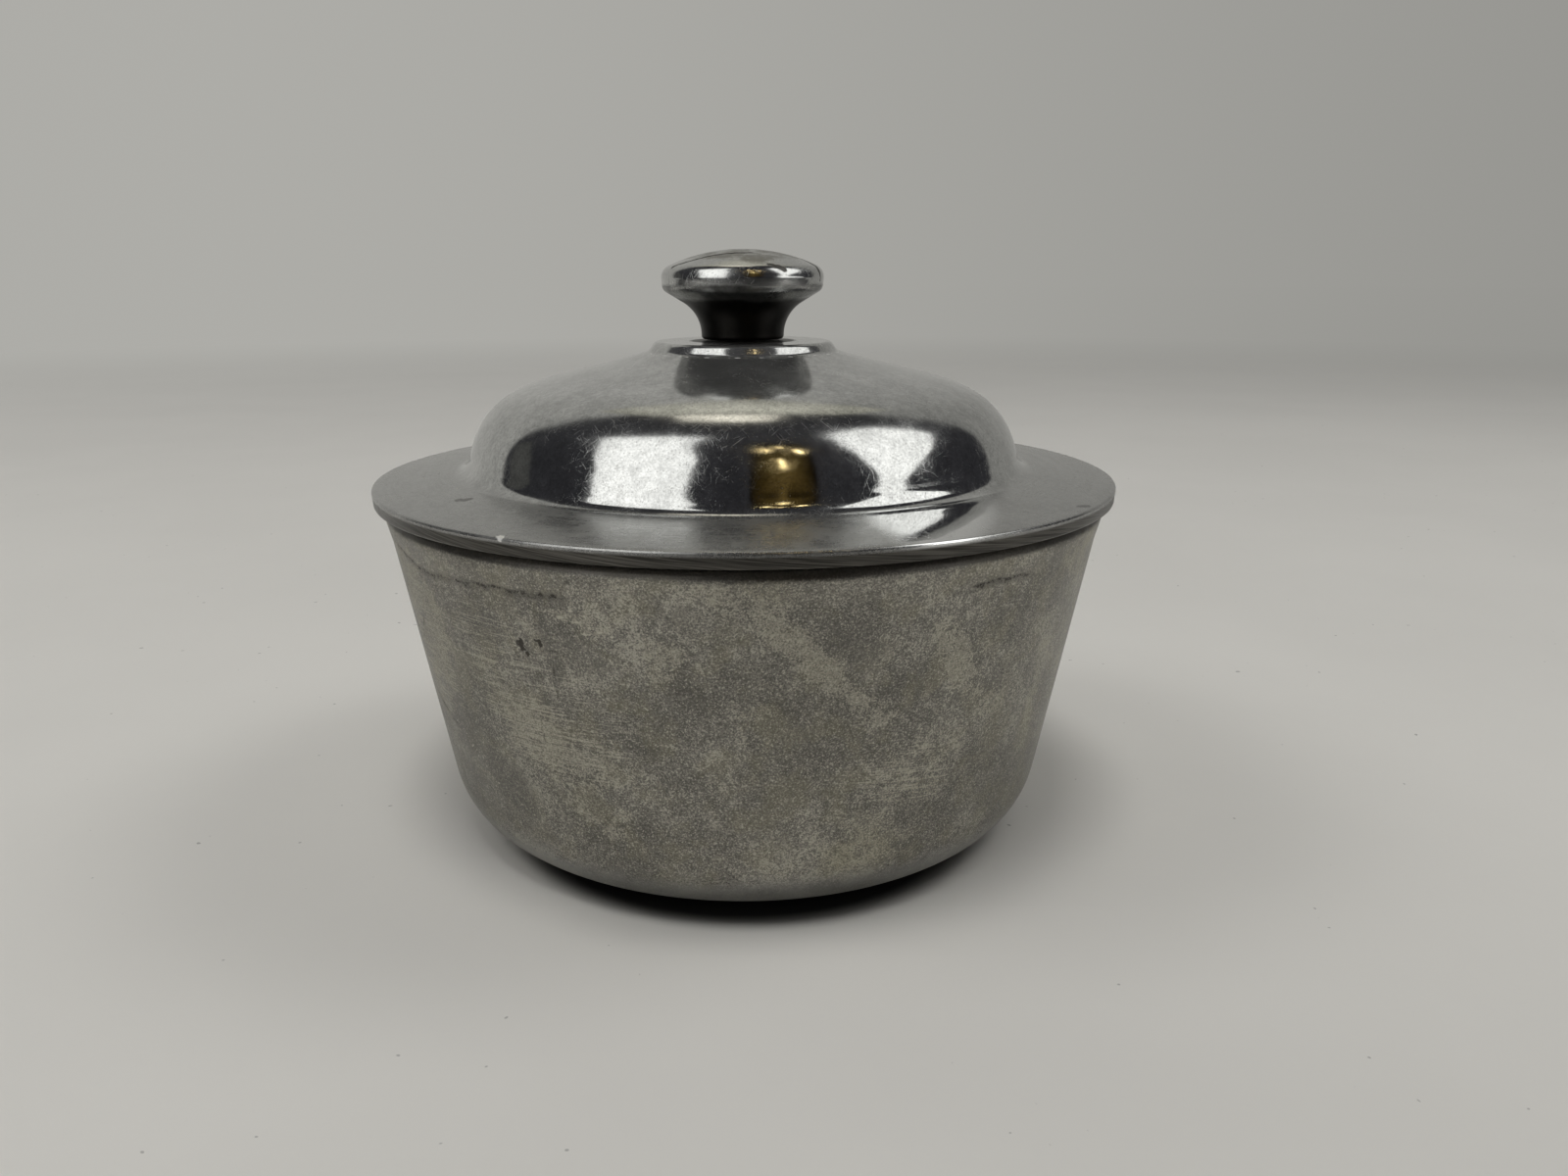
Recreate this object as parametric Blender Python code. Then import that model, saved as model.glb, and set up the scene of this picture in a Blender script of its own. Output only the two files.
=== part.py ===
"""Covered sugar bowl of cast grey metal: a tapered bowl, a domed lid, its knob and the screw that holds the knob.

The lid's flange rests on the bowl's rim and a ring under the flange drops inside the mouth to centre it.
The knob stands on a raised boss and is held by one round-headed screw put in from inside the lid.
"""
import math

import bmesh
import bpy
from mathutils import Vector

MM = 0.001

# Bowl
RIM_RADIUS = 62.1 * MM
BOWL_HEIGHT = 58.0 * MM
RIM_BAND_HEIGHT = 5.5 * MM
RIM_FLARE = 0.4 * MM
WALL_DRAFT = math.radians(10.4)
CORNER_HEIGHT = 11.4 * MM
CORNER_WIDTH = 13.5 * MM
CORNER_SIDE_FULLNESS = 0.83
CORNER_BASE_FULLNESS = 0.27
BOWL_WALL = 2.8 * MM
BOWL_FLOOR = 3.6 * MM
RIM_OUTER_ROUND = 0.6 * MM
RIM_INNER_ROUND = 0.9 * MM

# Lid flange and the ring under it
SEAT_GAP = 0.3 * MM
FLANGE_OVERHANG = 1.4 * MM
FLANGE_THICKNESS = 2.4 * MM
FLANGE_WIDTH = 15.3 * MM
FLANGE_EDGE_TAPER = 0.2 * MM
FLANGE_TOP_ROUND = 0.4 * MM
FLANGE_BOTTOM_ROUND = 0.3 * MM
RING_DEPTH = 3.0 * MM
RING_THICKNESS = 2.2 * MM
RING_CLEARANCE = 0.5 * MM
RING_ROUND = 0.5 * MM
HOLLOW_EDGE_ROUND = 1.0 * MM

# Lid dome and boss
DOME_RISE = 21.0 * MM
DOME_SIDE_ANGLE = math.radians(78.5)
DOME_CROWN_ANGLE = math.radians(18.4)
DOME_SIDE_FULLNESS = 0.82
DOME_CROWN_FULLNESS = 0.53
DOME_FOOT_ROUND = 3.2 * MM
DOME_WALL = 2.4 * MM
BOSS_RADIUS = 15.2 * MM
BOSS_HEIGHT = 1.6 * MM
BOSS_SIDE_TAPER = 1.1 * MM
BOSS_EDGE_ROUND = 1.2 * MM
BOSS_FOOT_ROUND = 1.3 * MM
BOSS_THICKNESS = 3.9 * MM
PAD_MARGIN = 6.3 * MM

# Knob
KNOB_SEAT_GAP = 0.3 * MM
NECK_RADIUS = 7.1 * MM
NECK_HEIGHT = 4.3 * MM
NECK_ROUND = 6.4 * MM
CAP_OVERHANG = 6.8 * MM
CAP_UNDERSIDE_SLOPE = math.radians(30)
CAP_EDGE_THICKNESS = 3.4 * MM
CAP_LOWER_ROUND = 1.2 * MM
CAP_TOP_ROUND = 2.6 * MM
CROWN_RISE = 3.3 * MM
KNOB_FOOT_ROUND = 0.6 * MM

# Screw and its holes
SCREW_RADIUS = 2.4 * MM
SCREW_ENGAGEMENT = 7.5 * MM
SCREW_TIP_CHAMFER = 0.5 * MM
SCREW_HOLE_CLEARANCE = 0.3 * MM
SCREW_TIP_CLEARANCE = 0.8 * MM
SCREW_SEAT_GAP = 0.3 * MM
HEAD_BEARING = 2.0 * MM
HEAD_HEIGHT = 3.0 * MM
HEAD_EDGE_HEIGHT = 0.9 * MM
SLOT_WIDTH = 1.3 * MM
SLOT_FLOOR = 1.4 * MM
DRILL_POINT_ANGLE = math.radians(59)

# Facets
BODY_SEGMENTS = 64
KNOB_SEGMENTS = 40
SCREW_SEGMENTS = 24
CURVE_STEPS = 10
INSIDE_EVERY = 2
CROWN_STEPS = 5
ARC_STEP = math.radians(20)
SHARP_ANGLE = math.radians(32)
WELD_DISTANCE = 1e-6

# Places that follow from the sizes above
LID_SEAT_HEIGHT = BOWL_HEIGHT + SEAT_GAP
FLANGE_RADIUS = RIM_RADIUS + FLANGE_OVERHANG
DOME_RADIUS = FLANGE_RADIUS - FLANGE_WIDTH
BOSS_TOP = FLANGE_THICKNESS + DOME_RISE + BOSS_HEIGHT
PAD_HEIGHT = BOSS_TOP - BOSS_THICKNESS
KNOB_BASE = BOSS_TOP + KNOB_SEAT_GAP
SCREW_SEAT = PAD_HEIGHT - SCREW_SEAT_GAP
SCREW_LENGTH = KNOB_BASE - SCREW_SEAT + SCREW_ENGAGEMENT
SCREW_HOLE_RADIUS = SCREW_RADIUS + SCREW_HOLE_CLEARANCE
HEAD_RADIUS = SCREW_HOLE_RADIUS + HEAD_BEARING
PAD_RADIUS = HEAD_RADIUS + PAD_MARGIN
CAP_RADIUS = NECK_RADIUS + CAP_OVERHANG
UNDERSIDE_TOP = NECK_HEIGHT + CAP_OVERHANG * math.tan(CAP_UNDERSIDE_SLOPE)
KNOB_HEIGHT = UNDERSIDE_TOP + CAP_EDGE_THICKNESS + CROWN_RISE


def bezier(start, start_handle, end_handle, end, steps=CURVE_STEPS):
    """Points of a cubic curve from start to end, both ends included."""
    points = []
    for index in range(steps + 1):
        t = index / steps
        s = 1 - t
        points.append(s**3 * start + 3 * s**2 * t * start_handle + 3 * s * t**2 * end_handle + t**3 * end)
    return points


def corner_reaches(outline, turns):
    """How far each rounding runs along its two edges, shortened where two would meet on one edge."""
    reaches = [radius * math.tan(turn / 2) for (_, radius), turn in zip(outline, turns)]
    limited = list(reaches)
    for index in range(len(outline) - 1):
        length = (outline[index + 1][0] - outline[index][0]).length
        wanted = reaches[index] + reaches[index + 1]
        if wanted > length:
            limited[index] = min(limited[index], reaches[index] * length / wanted)
            limited[index + 1] = min(limited[index + 1], reaches[index + 1] * length / wanted)
    return limited


def rounded(outline):
    """Round the corners of an outline of (point, radius) pairs; a radius of 0 keeps the corner."""
    corners = [corner for corner, _ in outline]
    ways = [(after - before).normalized() for before, after in zip(corners, corners[1:])]
    turns = [0] + [into.angle(out) for into, out in zip(ways, ways[1:])] + [0]
    points = []
    for index, reach in enumerate(corner_reaches(outline, turns)):
        corner = corners[index]
        if reach == 0:
            points.append(corner)
            continue
        into, out, turn = ways[index - 1], ways[index], turns[index]
        side = 1 if into.x * out.y - into.y * out.x > 0 else -1
        spoke = Vector((into.y, -into.x)) * side * reach / math.tan(turn / 2)
        centre = corner - into * reach - spoke
        steps = max(2, math.ceil(turn / ARC_STEP))
        for step in range(steps + 1):
            angle = side * turn * step / steps
            points.append(centre + Vector((
                spoke.x * math.cos(angle) - spoke.y * math.sin(angle),
                spoke.x * math.sin(angle) + spoke.y * math.cos(angle),
            )))
    return points


def thickened(curve, first_wall, last_wall):
    """A curve beside another, to its left, whose distance runs from first_wall to last_wall."""
    points = []
    for index, point in enumerate(curve):
        before = curve[max(index - 1, 0)]
        after = curve[min(index + 1, len(curve) - 1)]
        along = (after - before).normalized()
        share = index / (len(curve) - 1)
        wall = first_wall + (last_wall - first_wall) * share
        points.append(point + Vector((-along.y, along.x)) * wall)
    return points


def plain(points):
    """An outline whose corners stay as they are."""
    return [(point, 0) for point in points]


def metal(name, colour, roughness):
    """A plain metal material."""
    material = bpy.data.materials.new(name)
    material.use_nodes = True
    shader = material.node_tree.nodes["Principled BSDF"]
    shader.inputs["Base Color"].default_value = (*colour, 1)
    shader.inputs["Metallic"].default_value = 1
    shader.inputs["Roughness"].default_value = roughness
    return material


def turned(name, outline, segments, material, closed):
    """Turn an outline of (radius, height) points about Z into one solid."""
    shape = bmesh.new()
    verts = [shape.verts.new((point.x, 0, point.y)) for point in rounded(outline)]
    edges = [shape.edges.new(pair) for pair in zip(verts, verts[1:])]
    if closed:
        edges.append(shape.edges.new((verts[-1], verts[0])))
    bmesh.ops.spin(
        shape, geom=verts + edges, axis=(0, 0, 1), cent=(0, 0, 0),
        angle=2 * math.pi, steps=segments, use_merge=True, use_duplicate=False,
    )
    bmesh.ops.remove_doubles(shape, verts=shape.verts, dist=WELD_DISTANCE)
    bmesh.ops.recalc_face_normals(shape, faces=shape.faces)
    mesh = bpy.data.meshes.new(name)
    shape.to_mesh(mesh)
    shape.free()
    mesh.materials.append(material)
    mesh.shade_smooth()
    mesh.set_sharp_from_angle(angle=SHARP_ANGLE)
    piece = bpy.data.objects.new(name, mesh)
    bpy.context.collection.objects.link(piece)
    return piece


def wall_radius(height):
    """Outer radius of the bowl's straight wall, carried on past the rim's flared band."""
    return RIM_RADIUS - RIM_FLARE - (BOWL_HEIGHT - height) * math.tan(WALL_DRAFT)


def mouth_radius(height):
    """Inner radius of the bowl's straight wall at a height above the table."""
    return wall_radius(height) - BOWL_WALL / math.cos(WALL_DRAFT)


def make_bowl():
    """Flat foot, soft bottom corner, drafted wall, faintly flared rim band, open at the top."""
    corner_radius = wall_radius(CORNER_HEIGHT)
    foot = Vector((corner_radius - CORNER_WIDTH, 0))
    corner = Vector((corner_radius, CORNER_HEIGHT))
    side_reach = CORNER_HEIGHT * CORNER_SIDE_FULLNESS
    side_handle = corner - Vector((math.tan(WALL_DRAFT), 1)) * side_reach
    base_handle = foot + Vector((CORNER_WIDTH * CORNER_BASE_FULLNESS, 0))
    outside = bezier(foot, base_handle, side_handle, corner)
    inside = thickened(outside, BOWL_FLOOR, BOWL_WALL)[::INSIDE_EVERY]
    band_foot = BOWL_HEIGHT - RIM_BAND_HEIGHT
    outline = plain([Vector((0, 0))] + outside + [Vector((wall_radius(band_foot), band_foot))])
    outline.append((Vector((RIM_RADIUS, BOWL_HEIGHT)), RIM_OUTER_ROUND))
    outline.append((Vector((mouth_radius(BOWL_HEIGHT), BOWL_HEIGHT)), RIM_INNER_ROUND))
    outline += plain(inside[::-1] + [Vector((0, inside[0].y))])
    return turned("bowl", outline, BODY_SEGMENTS, metal("cast_bowl_metal", (0.42, 0.41, 0.39), 0.45), False)


def dome_curve():
    """The dome's outer line from its foot on the flange up to the boss, and the foot's corner."""
    corner = Vector((DOME_RADIUS, FLANGE_THICKNESS))
    side = Vector((-math.cos(DOME_SIDE_ANGLE), math.sin(DOME_SIDE_ANGLE)))
    turn = math.pi - DOME_SIDE_ANGLE
    start = corner + side * DOME_FOOT_ROUND / math.tan(turn / 2)
    end = Vector((BOSS_RADIUS + BOSS_SIDE_TAPER, FLANGE_THICKNESS + DOME_RISE))
    side_reach = (end.y - start.y) * DOME_SIDE_FULLNESS
    crown_reach = (start.x - end.x) * DOME_CROWN_FULLNESS
    start_handle = start + Vector((-side_reach / math.tan(DOME_SIDE_ANGLE), side_reach))
    end_handle = end + Vector((crown_reach, -crown_reach * math.tan(DOME_CROWN_ANGLE)))
    return corner, bezier(start, start_handle, end_handle, end)


def make_lid():
    """Flange with an upright edge, hollow dome, boss with a screw hole, and the centring ring."""
    foot_corner, dome = dome_curve()
    hollow = thickened(dome, DOME_WALL, DOME_WALL)[::INSIDE_EVERY]
    ring_foot = mouth_radius(LID_SEAT_HEIGHT - RING_DEPTH) - RING_CLEARANCE
    ring_inner = ring_foot - RING_THICKNESS
    outline = [
        (Vector((SCREW_HOLE_RADIUS, BOSS_TOP)), 0),
        (Vector((BOSS_RADIUS, BOSS_TOP)), BOSS_EDGE_ROUND),
    ]
    outline += [(dome[-1], BOSS_FOOT_ROUND)] + plain(dome[-2:0:-1])
    outline += [
        (foot_corner, DOME_FOOT_ROUND),
        (Vector((FLANGE_RADIUS, FLANGE_THICKNESS)), FLANGE_TOP_ROUND),
        (Vector((FLANGE_RADIUS - FLANGE_EDGE_TAPER, 0)), FLANGE_BOTTOM_ROUND),
        (Vector((ring_foot, 0)), 0),
        (Vector((ring_foot, -RING_DEPTH)), RING_ROUND),
        (Vector((ring_inner, -RING_DEPTH)), RING_ROUND),
        (Vector((ring_inner, 0)), 0),
        (Vector((hollow[0].x, 0)), HOLLOW_EDGE_ROUND),
    ]
    outline += plain(hollow)
    outline += plain([Vector((PAD_RADIUS, PAD_HEIGHT)), Vector((SCREW_HOLE_RADIUS, PAD_HEIGHT))])
    return turned("lid", outline, BODY_SEGMENTS, metal("cast_lid_metal", (0.56, 0.56, 0.56), 0.28), True)


def make_knob():
    """Mushroom knob: crowned cap with a round edge, flared neck, flat foot and a tapped hole."""
    crown_radius = (CAP_RADIUS**2 + CROWN_RISE**2) / (2 * CROWN_RISE)
    crown = []
    for step in range(CROWN_STEPS):
        reach = CAP_RADIUS * step / CROWN_STEPS
        sink = crown_radius - math.sqrt(crown_radius**2 - reach**2)
        crown.append(Vector((reach, KNOB_HEIGHT - sink)))
    hole_depth = SCREW_ENGAGEMENT + SCREW_TIP_CLEARANCE
    drill_tip = hole_depth + SCREW_HOLE_RADIUS / math.tan(DRILL_POINT_ANGLE)
    outline = plain(crown)
    outline += [
        (Vector((CAP_RADIUS, UNDERSIDE_TOP + CAP_EDGE_THICKNESS)), CAP_TOP_ROUND),
        (Vector((CAP_RADIUS, UNDERSIDE_TOP)), CAP_LOWER_ROUND),
        (Vector((NECK_RADIUS, NECK_HEIGHT)), NECK_ROUND),
        (Vector((NECK_RADIUS, 0)), KNOB_FOOT_ROUND),
        (Vector((SCREW_HOLE_RADIUS, 0)), 0),
        (Vector((SCREW_HOLE_RADIUS, hole_depth)), 0),
        (Vector((0, drill_tip)), 0),
    ]
    return turned("knob", outline, KNOB_SEGMENTS, metal("polished_knob_metal", (0.62, 0.61, 0.6), 0.16), False)


def cut_slot(screw):
    """Cut the driver's slot across the screw's round head."""
    length = 2 * HEAD_RADIUS + HEAD_HEIGHT
    bpy.ops.mesh.primitive_cube_add(size=1)
    cutter = bpy.context.object
    cutter.name = "slot_cutter"
    for vert in cutter.data.vertices:
        vert.co = Vector((vert.co.x * length, vert.co.y * SLOT_WIDTH, (vert.co.z - 0.5) * HEAD_HEIGHT))
    cutter.location.z = -SLOT_FLOOR
    cutter.hide_render = True
    cutter.display_type = "WIRE"
    cutter.parent = screw
    cut = screw.modifiers.new("slot", "BOOLEAN")
    cut.operation = "DIFFERENCE"
    cut.solver = "EXACT"
    cut.object = cutter


def make_screw():
    """Round-headed machine screw, head down, with its shank pointing up."""
    rise = HEAD_HEIGHT - HEAD_EDGE_HEIGHT
    head_ball = (HEAD_RADIUS**2 + rise**2) / (2 * rise)
    half_angle = math.asin(HEAD_RADIUS / head_ball)
    head = []
    for step in range(CROWN_STEPS + 1):
        angle = half_angle * step / CROWN_STEPS
        head.append(Vector((head_ball * math.sin(angle), head_ball * (1 - math.cos(angle)) - HEAD_HEIGHT)))
    outline = plain(head) + plain([
        Vector((HEAD_RADIUS, 0)),
        Vector((SCREW_RADIUS, 0)),
        Vector((SCREW_RADIUS, SCREW_LENGTH - SCREW_TIP_CHAMFER)),
        Vector((SCREW_RADIUS - SCREW_TIP_CHAMFER, SCREW_LENGTH)),
        Vector((0, SCREW_LENGTH)),
    ])
    screw = turned("knob_screw", outline, SCREW_SEGMENTS, metal("screw_steel", (0.5, 0.5, 0.5), 0.35), False)
    cut_slot(screw)
    return screw


def main():
    """Build the bowl on the table and everything that lifts off with the lid."""
    for leftover in list(bpy.data.objects):
        bpy.data.objects.remove(leftover)
    make_bowl()
    lid_group = bpy.data.objects.new("lid_group", None)
    lid_group.location.z = LID_SEAT_HEIGHT
    bpy.context.collection.objects.link(lid_group)
    for piece, height in ((make_lid(), 0), (make_knob(), KNOB_BASE), (make_screw(), SCREW_SEAT)):
        piece.parent = lid_group
        piece.location.z = height


main()
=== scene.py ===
"""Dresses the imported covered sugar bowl: a worn cast bowl, its domed lid, the turned knob and its screw.

Every visible piece is a smooth turned surface worked out with numpy from the same sizes as the solid it
stands for, and every finish is made of nodes. Angles around the axis are measured from the front, -Y, and
grow towards +X.
"""
import math
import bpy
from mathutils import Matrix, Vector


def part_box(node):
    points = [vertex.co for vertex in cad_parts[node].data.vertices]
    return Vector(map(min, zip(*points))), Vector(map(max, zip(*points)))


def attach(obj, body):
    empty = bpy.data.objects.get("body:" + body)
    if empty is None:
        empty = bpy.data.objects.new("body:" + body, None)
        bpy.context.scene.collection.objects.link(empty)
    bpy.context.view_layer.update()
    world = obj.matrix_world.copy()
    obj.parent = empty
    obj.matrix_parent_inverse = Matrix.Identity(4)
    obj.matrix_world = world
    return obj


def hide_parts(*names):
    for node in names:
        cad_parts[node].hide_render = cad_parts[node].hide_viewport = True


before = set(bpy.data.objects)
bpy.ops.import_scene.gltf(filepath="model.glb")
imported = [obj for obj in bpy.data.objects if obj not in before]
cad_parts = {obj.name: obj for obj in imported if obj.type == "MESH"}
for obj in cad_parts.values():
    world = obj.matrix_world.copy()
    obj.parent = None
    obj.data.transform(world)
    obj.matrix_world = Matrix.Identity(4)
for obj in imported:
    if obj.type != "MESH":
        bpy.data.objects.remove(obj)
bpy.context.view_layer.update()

from types import SimpleNamespace

import bpy
import numpy as np
from bpy.props import FloatProperty, FloatVectorProperty, PointerProperty
from bpy.types import Operator, Panel, PropertyGroup
from mathutils import Euler, Vector

bl_info = {
    "name": "Covered sugar bowl",
    "version": (1, 0, 0),
    "blender": (4, 5, 0),
    "location": "3D View > Sidebar > Sugar Bowl",
    "description": "Builds a worn cast covered sugar bowl with a domed lid and a turned knob",
    "category": "Object",
}

MM = 0.001
BOWL_BOX, KNOB_BOX, SCREW_BOX = (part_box(name) for name in ("bowl", "knob", "knob_screw"))

# Columns of each turned surface around the axis
BOWL_COLUMNS = 440
LID_COLUMNS = 384
KNOB_COLUMNS = 256
SCREW_COLUMNS = 64
SHARP_ANGLE = math.radians(33)


def length(name, millimetres, description):
    """A length that a user may change."""
    return FloatProperty(
        name=name, description=description, default=millimetres * MM, min=0, precision=5,
        unit="LENGTH", subtype="DISTANCE",
    )


def angle(name, degrees, description):
    """An angle that a user may change."""
    return FloatProperty(
        name=name, description=description, default=math.radians(degrees), unit="ROTATION", subtype="ANGLE",
    )


def share(name, value, description):
    """A share from 0 to 1 that a user may change."""
    return FloatProperty(name=name, description=description, default=value, min=0, max=1, subtype="FACTOR")


def colour(name, value, description):
    """A colour that a user may change."""
    return FloatVectorProperty(
        name=name, description=description, default=value, size=3, min=0, soft_max=1, subtype="COLOR",
    )


class BowlSizes(PropertyGroup):
    """Sizes of the bowl."""

    rim_radius: length("Rim radius", 62.1, "Outer radius at the top of the rim")
    height: length("Height", BOWL_BOX[1].z / MM, "Height from the foot to the rim")
    band_height: length("Rim band", 5.5, "Height of the faintly flared band under the rim")
    band_flare: length("Rim flare", 0.4, "How far the band flares past the wall's own line")
    draft: angle("Wall draft", 10.4, "Lean of the wall from upright")
    corner_height: length("Corner height", 11.4, "Height where the soft bottom corner meets the wall")
    corner_width: length("Corner width", 13.5, "How far in the soft bottom corner runs")
    side_fullness: share("Side fullness", 0.83, "Pull of the corner's curve along the wall")
    base_fullness: share("Base fullness", 0.27, "Pull of the corner's curve along the foot")
    wall: length("Wall", 2.8, "Thickness of the wall")
    floor: length("Floor", 3.6, "Thickness of the floor")
    outer_round: length("Rim outer rounding", 1.8, "Rounding of the rim's outer edge")
    inner_round: length("Rim inner rounding", 0.7, "Rounding of the rim's inner edge")


class LidSizes(PropertyGroup):
    """Sizes of the lid."""

    seat_height: length("Seat height", (BOWL_BOX[1].z + 0.3 * MM) / MM, "Height of the flange's underside")
    flange_radius: length("Flange radius", 63.5, "Outer radius of the flange")
    flange_thickness: length("Flange thickness", 2.4, "Thickness of the flange")
    flange_slope: angle("Flange slope", 6.5, "Fall of the flange's top from the dome's foot to its edge")
    edge_taper: length("Edge taper", 0.2, "How much smaller the flange is at its underside")
    edge_top_round: length("Top edge rounding", 0.4, "Rounding of the flange's upper edge")
    edge_bottom_round: length("Bottom edge rounding", 0.3, "Rounding of the flange's lower edge")
    dome_radius: length("Dome radius", 48.2, "Radius of the dome's foot on the flange")
    dome_rise: length("Dome rise", 21.0, "Height of the dome above the flange")
    side_angle: angle("Dome side angle", 78.5, "Slope of the dome's side at its foot")
    crown_angle: angle("Dome crown angle", 18.4, "Slope of the dome where it meets the boss")
    side_fullness: share("Dome side fullness", 0.82, "Pull of the dome's curve up its side")
    crown_fullness: share("Dome crown fullness", 0.53, "Pull of the dome's curve along its crown")
    dome_foot_round: length("Dome foot rounding", 3.2, "Fillet between the dome and the flange")
    dome_wall: length("Dome wall", 2.4, "Thickness of the dome")
    boss_radius: length("Boss radius", 15.2, "Radius of the raised boss under the knob")
    boss_height: length("Boss height", 1.6, "Height of the boss above the dome")
    boss_taper: length("Boss side taper", 1.1, "How much wider the boss is at its foot")
    boss_edge_round: length("Boss edge rounding", 1.25, "Rounding of the boss's upper edge")
    boss_foot_round: length("Boss foot rounding", 1.3, "Fillet around the boss's foot")
    boss_thickness: length("Boss thickness", 3.9, "Metal between the boss's top and the pad inside the lid")
    pad_radius: length("Pad radius", 11.0, "Radius of the flat pad inside the lid")
    hole_radius: length("Screw hole radius", 2.7, "Radius of the hole for the knob's screw")
    ring_radius: length("Ring radius", 57.5, "Outer radius of the centring ring")
    ring_depth: length("Ring depth", 3.0, "How far the centring ring drops below the flange")
    ring_thickness: length("Ring thickness", 2.2, "Thickness of the centring ring")
    ring_round: length("Ring rounding", 0.5, "Rounding of the ring's lower edges")
    hollow_round: length("Hollow edge rounding", 1.0, "Rounding of the edge where the hollow opens")


class KnobSizes(PropertyGroup):
    """Sizes of the knob."""

    base_height: length("Base height", KNOB_BOX[0].z / MM, "Height of the knob's foot")
    neck_radius: length("Neck radius", 7.1, "Radius of the neck")
    neck_height: length("Neck height", 4.3, "Height of the upright part of the neck")
    neck_round: length("Neck rounding", 6.4, "Hollow curve from the neck into the cap")
    cap_overhang: length("Cap overhang", 6.8, "How far the cap overhangs the neck")
    cap_slope: angle("Cap underside slope", 30, "Slope of the cap's underside")
    cap_lean: angle("Cap side lean", 7, "Lean of the cap's side, from its widest line down")
    cap_edge: length("Cap edge", 3.4, "Thickness of the cap's edge")
    cap_lower_round: length("Cap lower rounding", 1.5, "Rounding of the cap's lower edge")
    cap_top_round: length("Cap upper rounding", 2.2, "Rounding of the cap's upper edge")
    crown_rise: length("Crown rise", 3.3, "Height of the crown")
    foot_round: length("Foot rounding", 0.6, "Rounding of the knob's foot")
    hole_depth: length("Tapped hole depth", 8.3, "Depth of the tapped hole")


class ScrewSizes(PropertyGroup):
    """Sizes of the knob's screw."""

    seat_height: length("Seat height", 79.1, "Height of the head's bearing face")
    tip_height: length("Tip height", SCREW_BOX[1].z / MM, "Height of the screw's tip")
    radius: length("Thread radius", 2.4, "Outer radius of the thread")
    thread_depth: length("Thread depth", 0.45, "Depth of the thread")
    pitch: length("Pitch", 1.06, "Height of one turn of the thread")
    head_radius: length("Head radius", 4.7, "Radius of the head")
    head_height: length("Head height", 3.0, "Height of the head")
    head_edge: length("Head edge", 0.9, "Height of the head's upright edge")
    slot_width: length("Slot width", 1.3, "Width of the driver's slot")
    slot_floor: length("Slot floor", 1.4, "Metal left between the slot and the bearing face")


class Finishes(PropertyGroup):
    """Colours of the metal."""

    cast_grey: colour("Cast grey", (0.242, 0.233, 0.21), "Bare dull metal of the bowl's wall")
    buff_patch: colour("Buff patches", (0.43, 0.41, 0.345), "Paler worn patches on the bowl")
    # Also colours the dark patches low on the left, which are partly painted shade
    dark_patch: colour("Dark patches", (0.135, 0.13, 0.12), "Darker stained areas of the bowl")
    warm_tint: colour("Warm tint", (0.33, 0.31, 0.215), "Yellowish film low on the bowl")
    polish: colour("Polish", (0.565, 0.57, 0.56), "Polished metal of the lid and the knob")
    ground_edge: colour("Ground edge", (0.09, 0.086, 0.078), "Coarsely ground metal of the flange's edge")
    tarnish: colour("Tarnish", (0.014, 0.013, 0.012), "Black tarnish on the knob's neck")
    # Real grime in pits, stains and scores, and also painted shade: on the bowl's rim under the lid, at its
    # very foot, in the lid's corners and in the joint round the knob's foot
    grime: colour("Grime", (0.06, 0.055, 0.05), "Dirt in corners, pits and deep scratches")
    steel: colour("Screw steel", (0.52, 0.52, 0.51), "Plated steel of the knob's screw")


class StageSettings(PropertyGroup):
    """The camera, the floor and the lights."""

    camera_distance: length("Camera distance", 208.1, "How far the camera stands in front of the axis")
    camera_height: length("Camera height", 95.3, "Height of the camera above the floor")
    camera_dip: angle("Camera dip", 15.17, "How far the camera looks down")
    camera_roll: angle("Camera roll", -0.294, "Turn of the camera about its own line of sight")
    lens: FloatProperty(
        name="Lens", description="Focal length for a 36 mm wide picture", default=27.05, unit="CAMERA",
    )
    camera_shift: FloatProperty(
        name="Camera shift", description="Sideways shift of the picture", default=0.0255,
    )
    floor_radius: length("Floor radius", 6000, "Radius of the floor")
    table_depth: length("Table depth", 200, "How far in front of the axis reflections show the floor")
    table_width: length("Table width", 400, "How far to each side reflections show the floor")
    floor_colour: colour("Floor colour", (0.72, 0.71, 0.68), "Colour of the floor")
    board_light: colour("Board light", (0.43, 0.425, 0.40), "Light of the pale board behind the object")
    room_dark: colour("Room dark", (0.036, 0.036, 0.04), "Light from the unlit room")
    backdrop: colour("Backdrop", (0.42, 0.415, 0.39), "What the camera sees past the floor")


# Curves and outlines: arrays of (radius, height)


def point(radius, height):
    """One point of an outline."""
    return np.array([[radius, height]], dtype=float)


def straight(start, end, count):
    """Evenly spaced points from start to end, without the end: start + (end - start) t."""
    t = np.linspace(0, 1, count, endpoint=False)[:, None]
    return start + (end - start) * t


def cubic(start, start_handle, end_handle, end, count):
    """A cubic curve: (1-t)^3 start + 3 (1-t)^2 t handle + 3 (1-t) t^2 handle + t^3 end."""
    t = np.linspace(0, 1, count)[:, None]
    s = 1 - t
    return s**3 * start + 3 * s**2 * t * start_handle + 3 * s * t**2 * end_handle + t**3 * end


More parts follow.
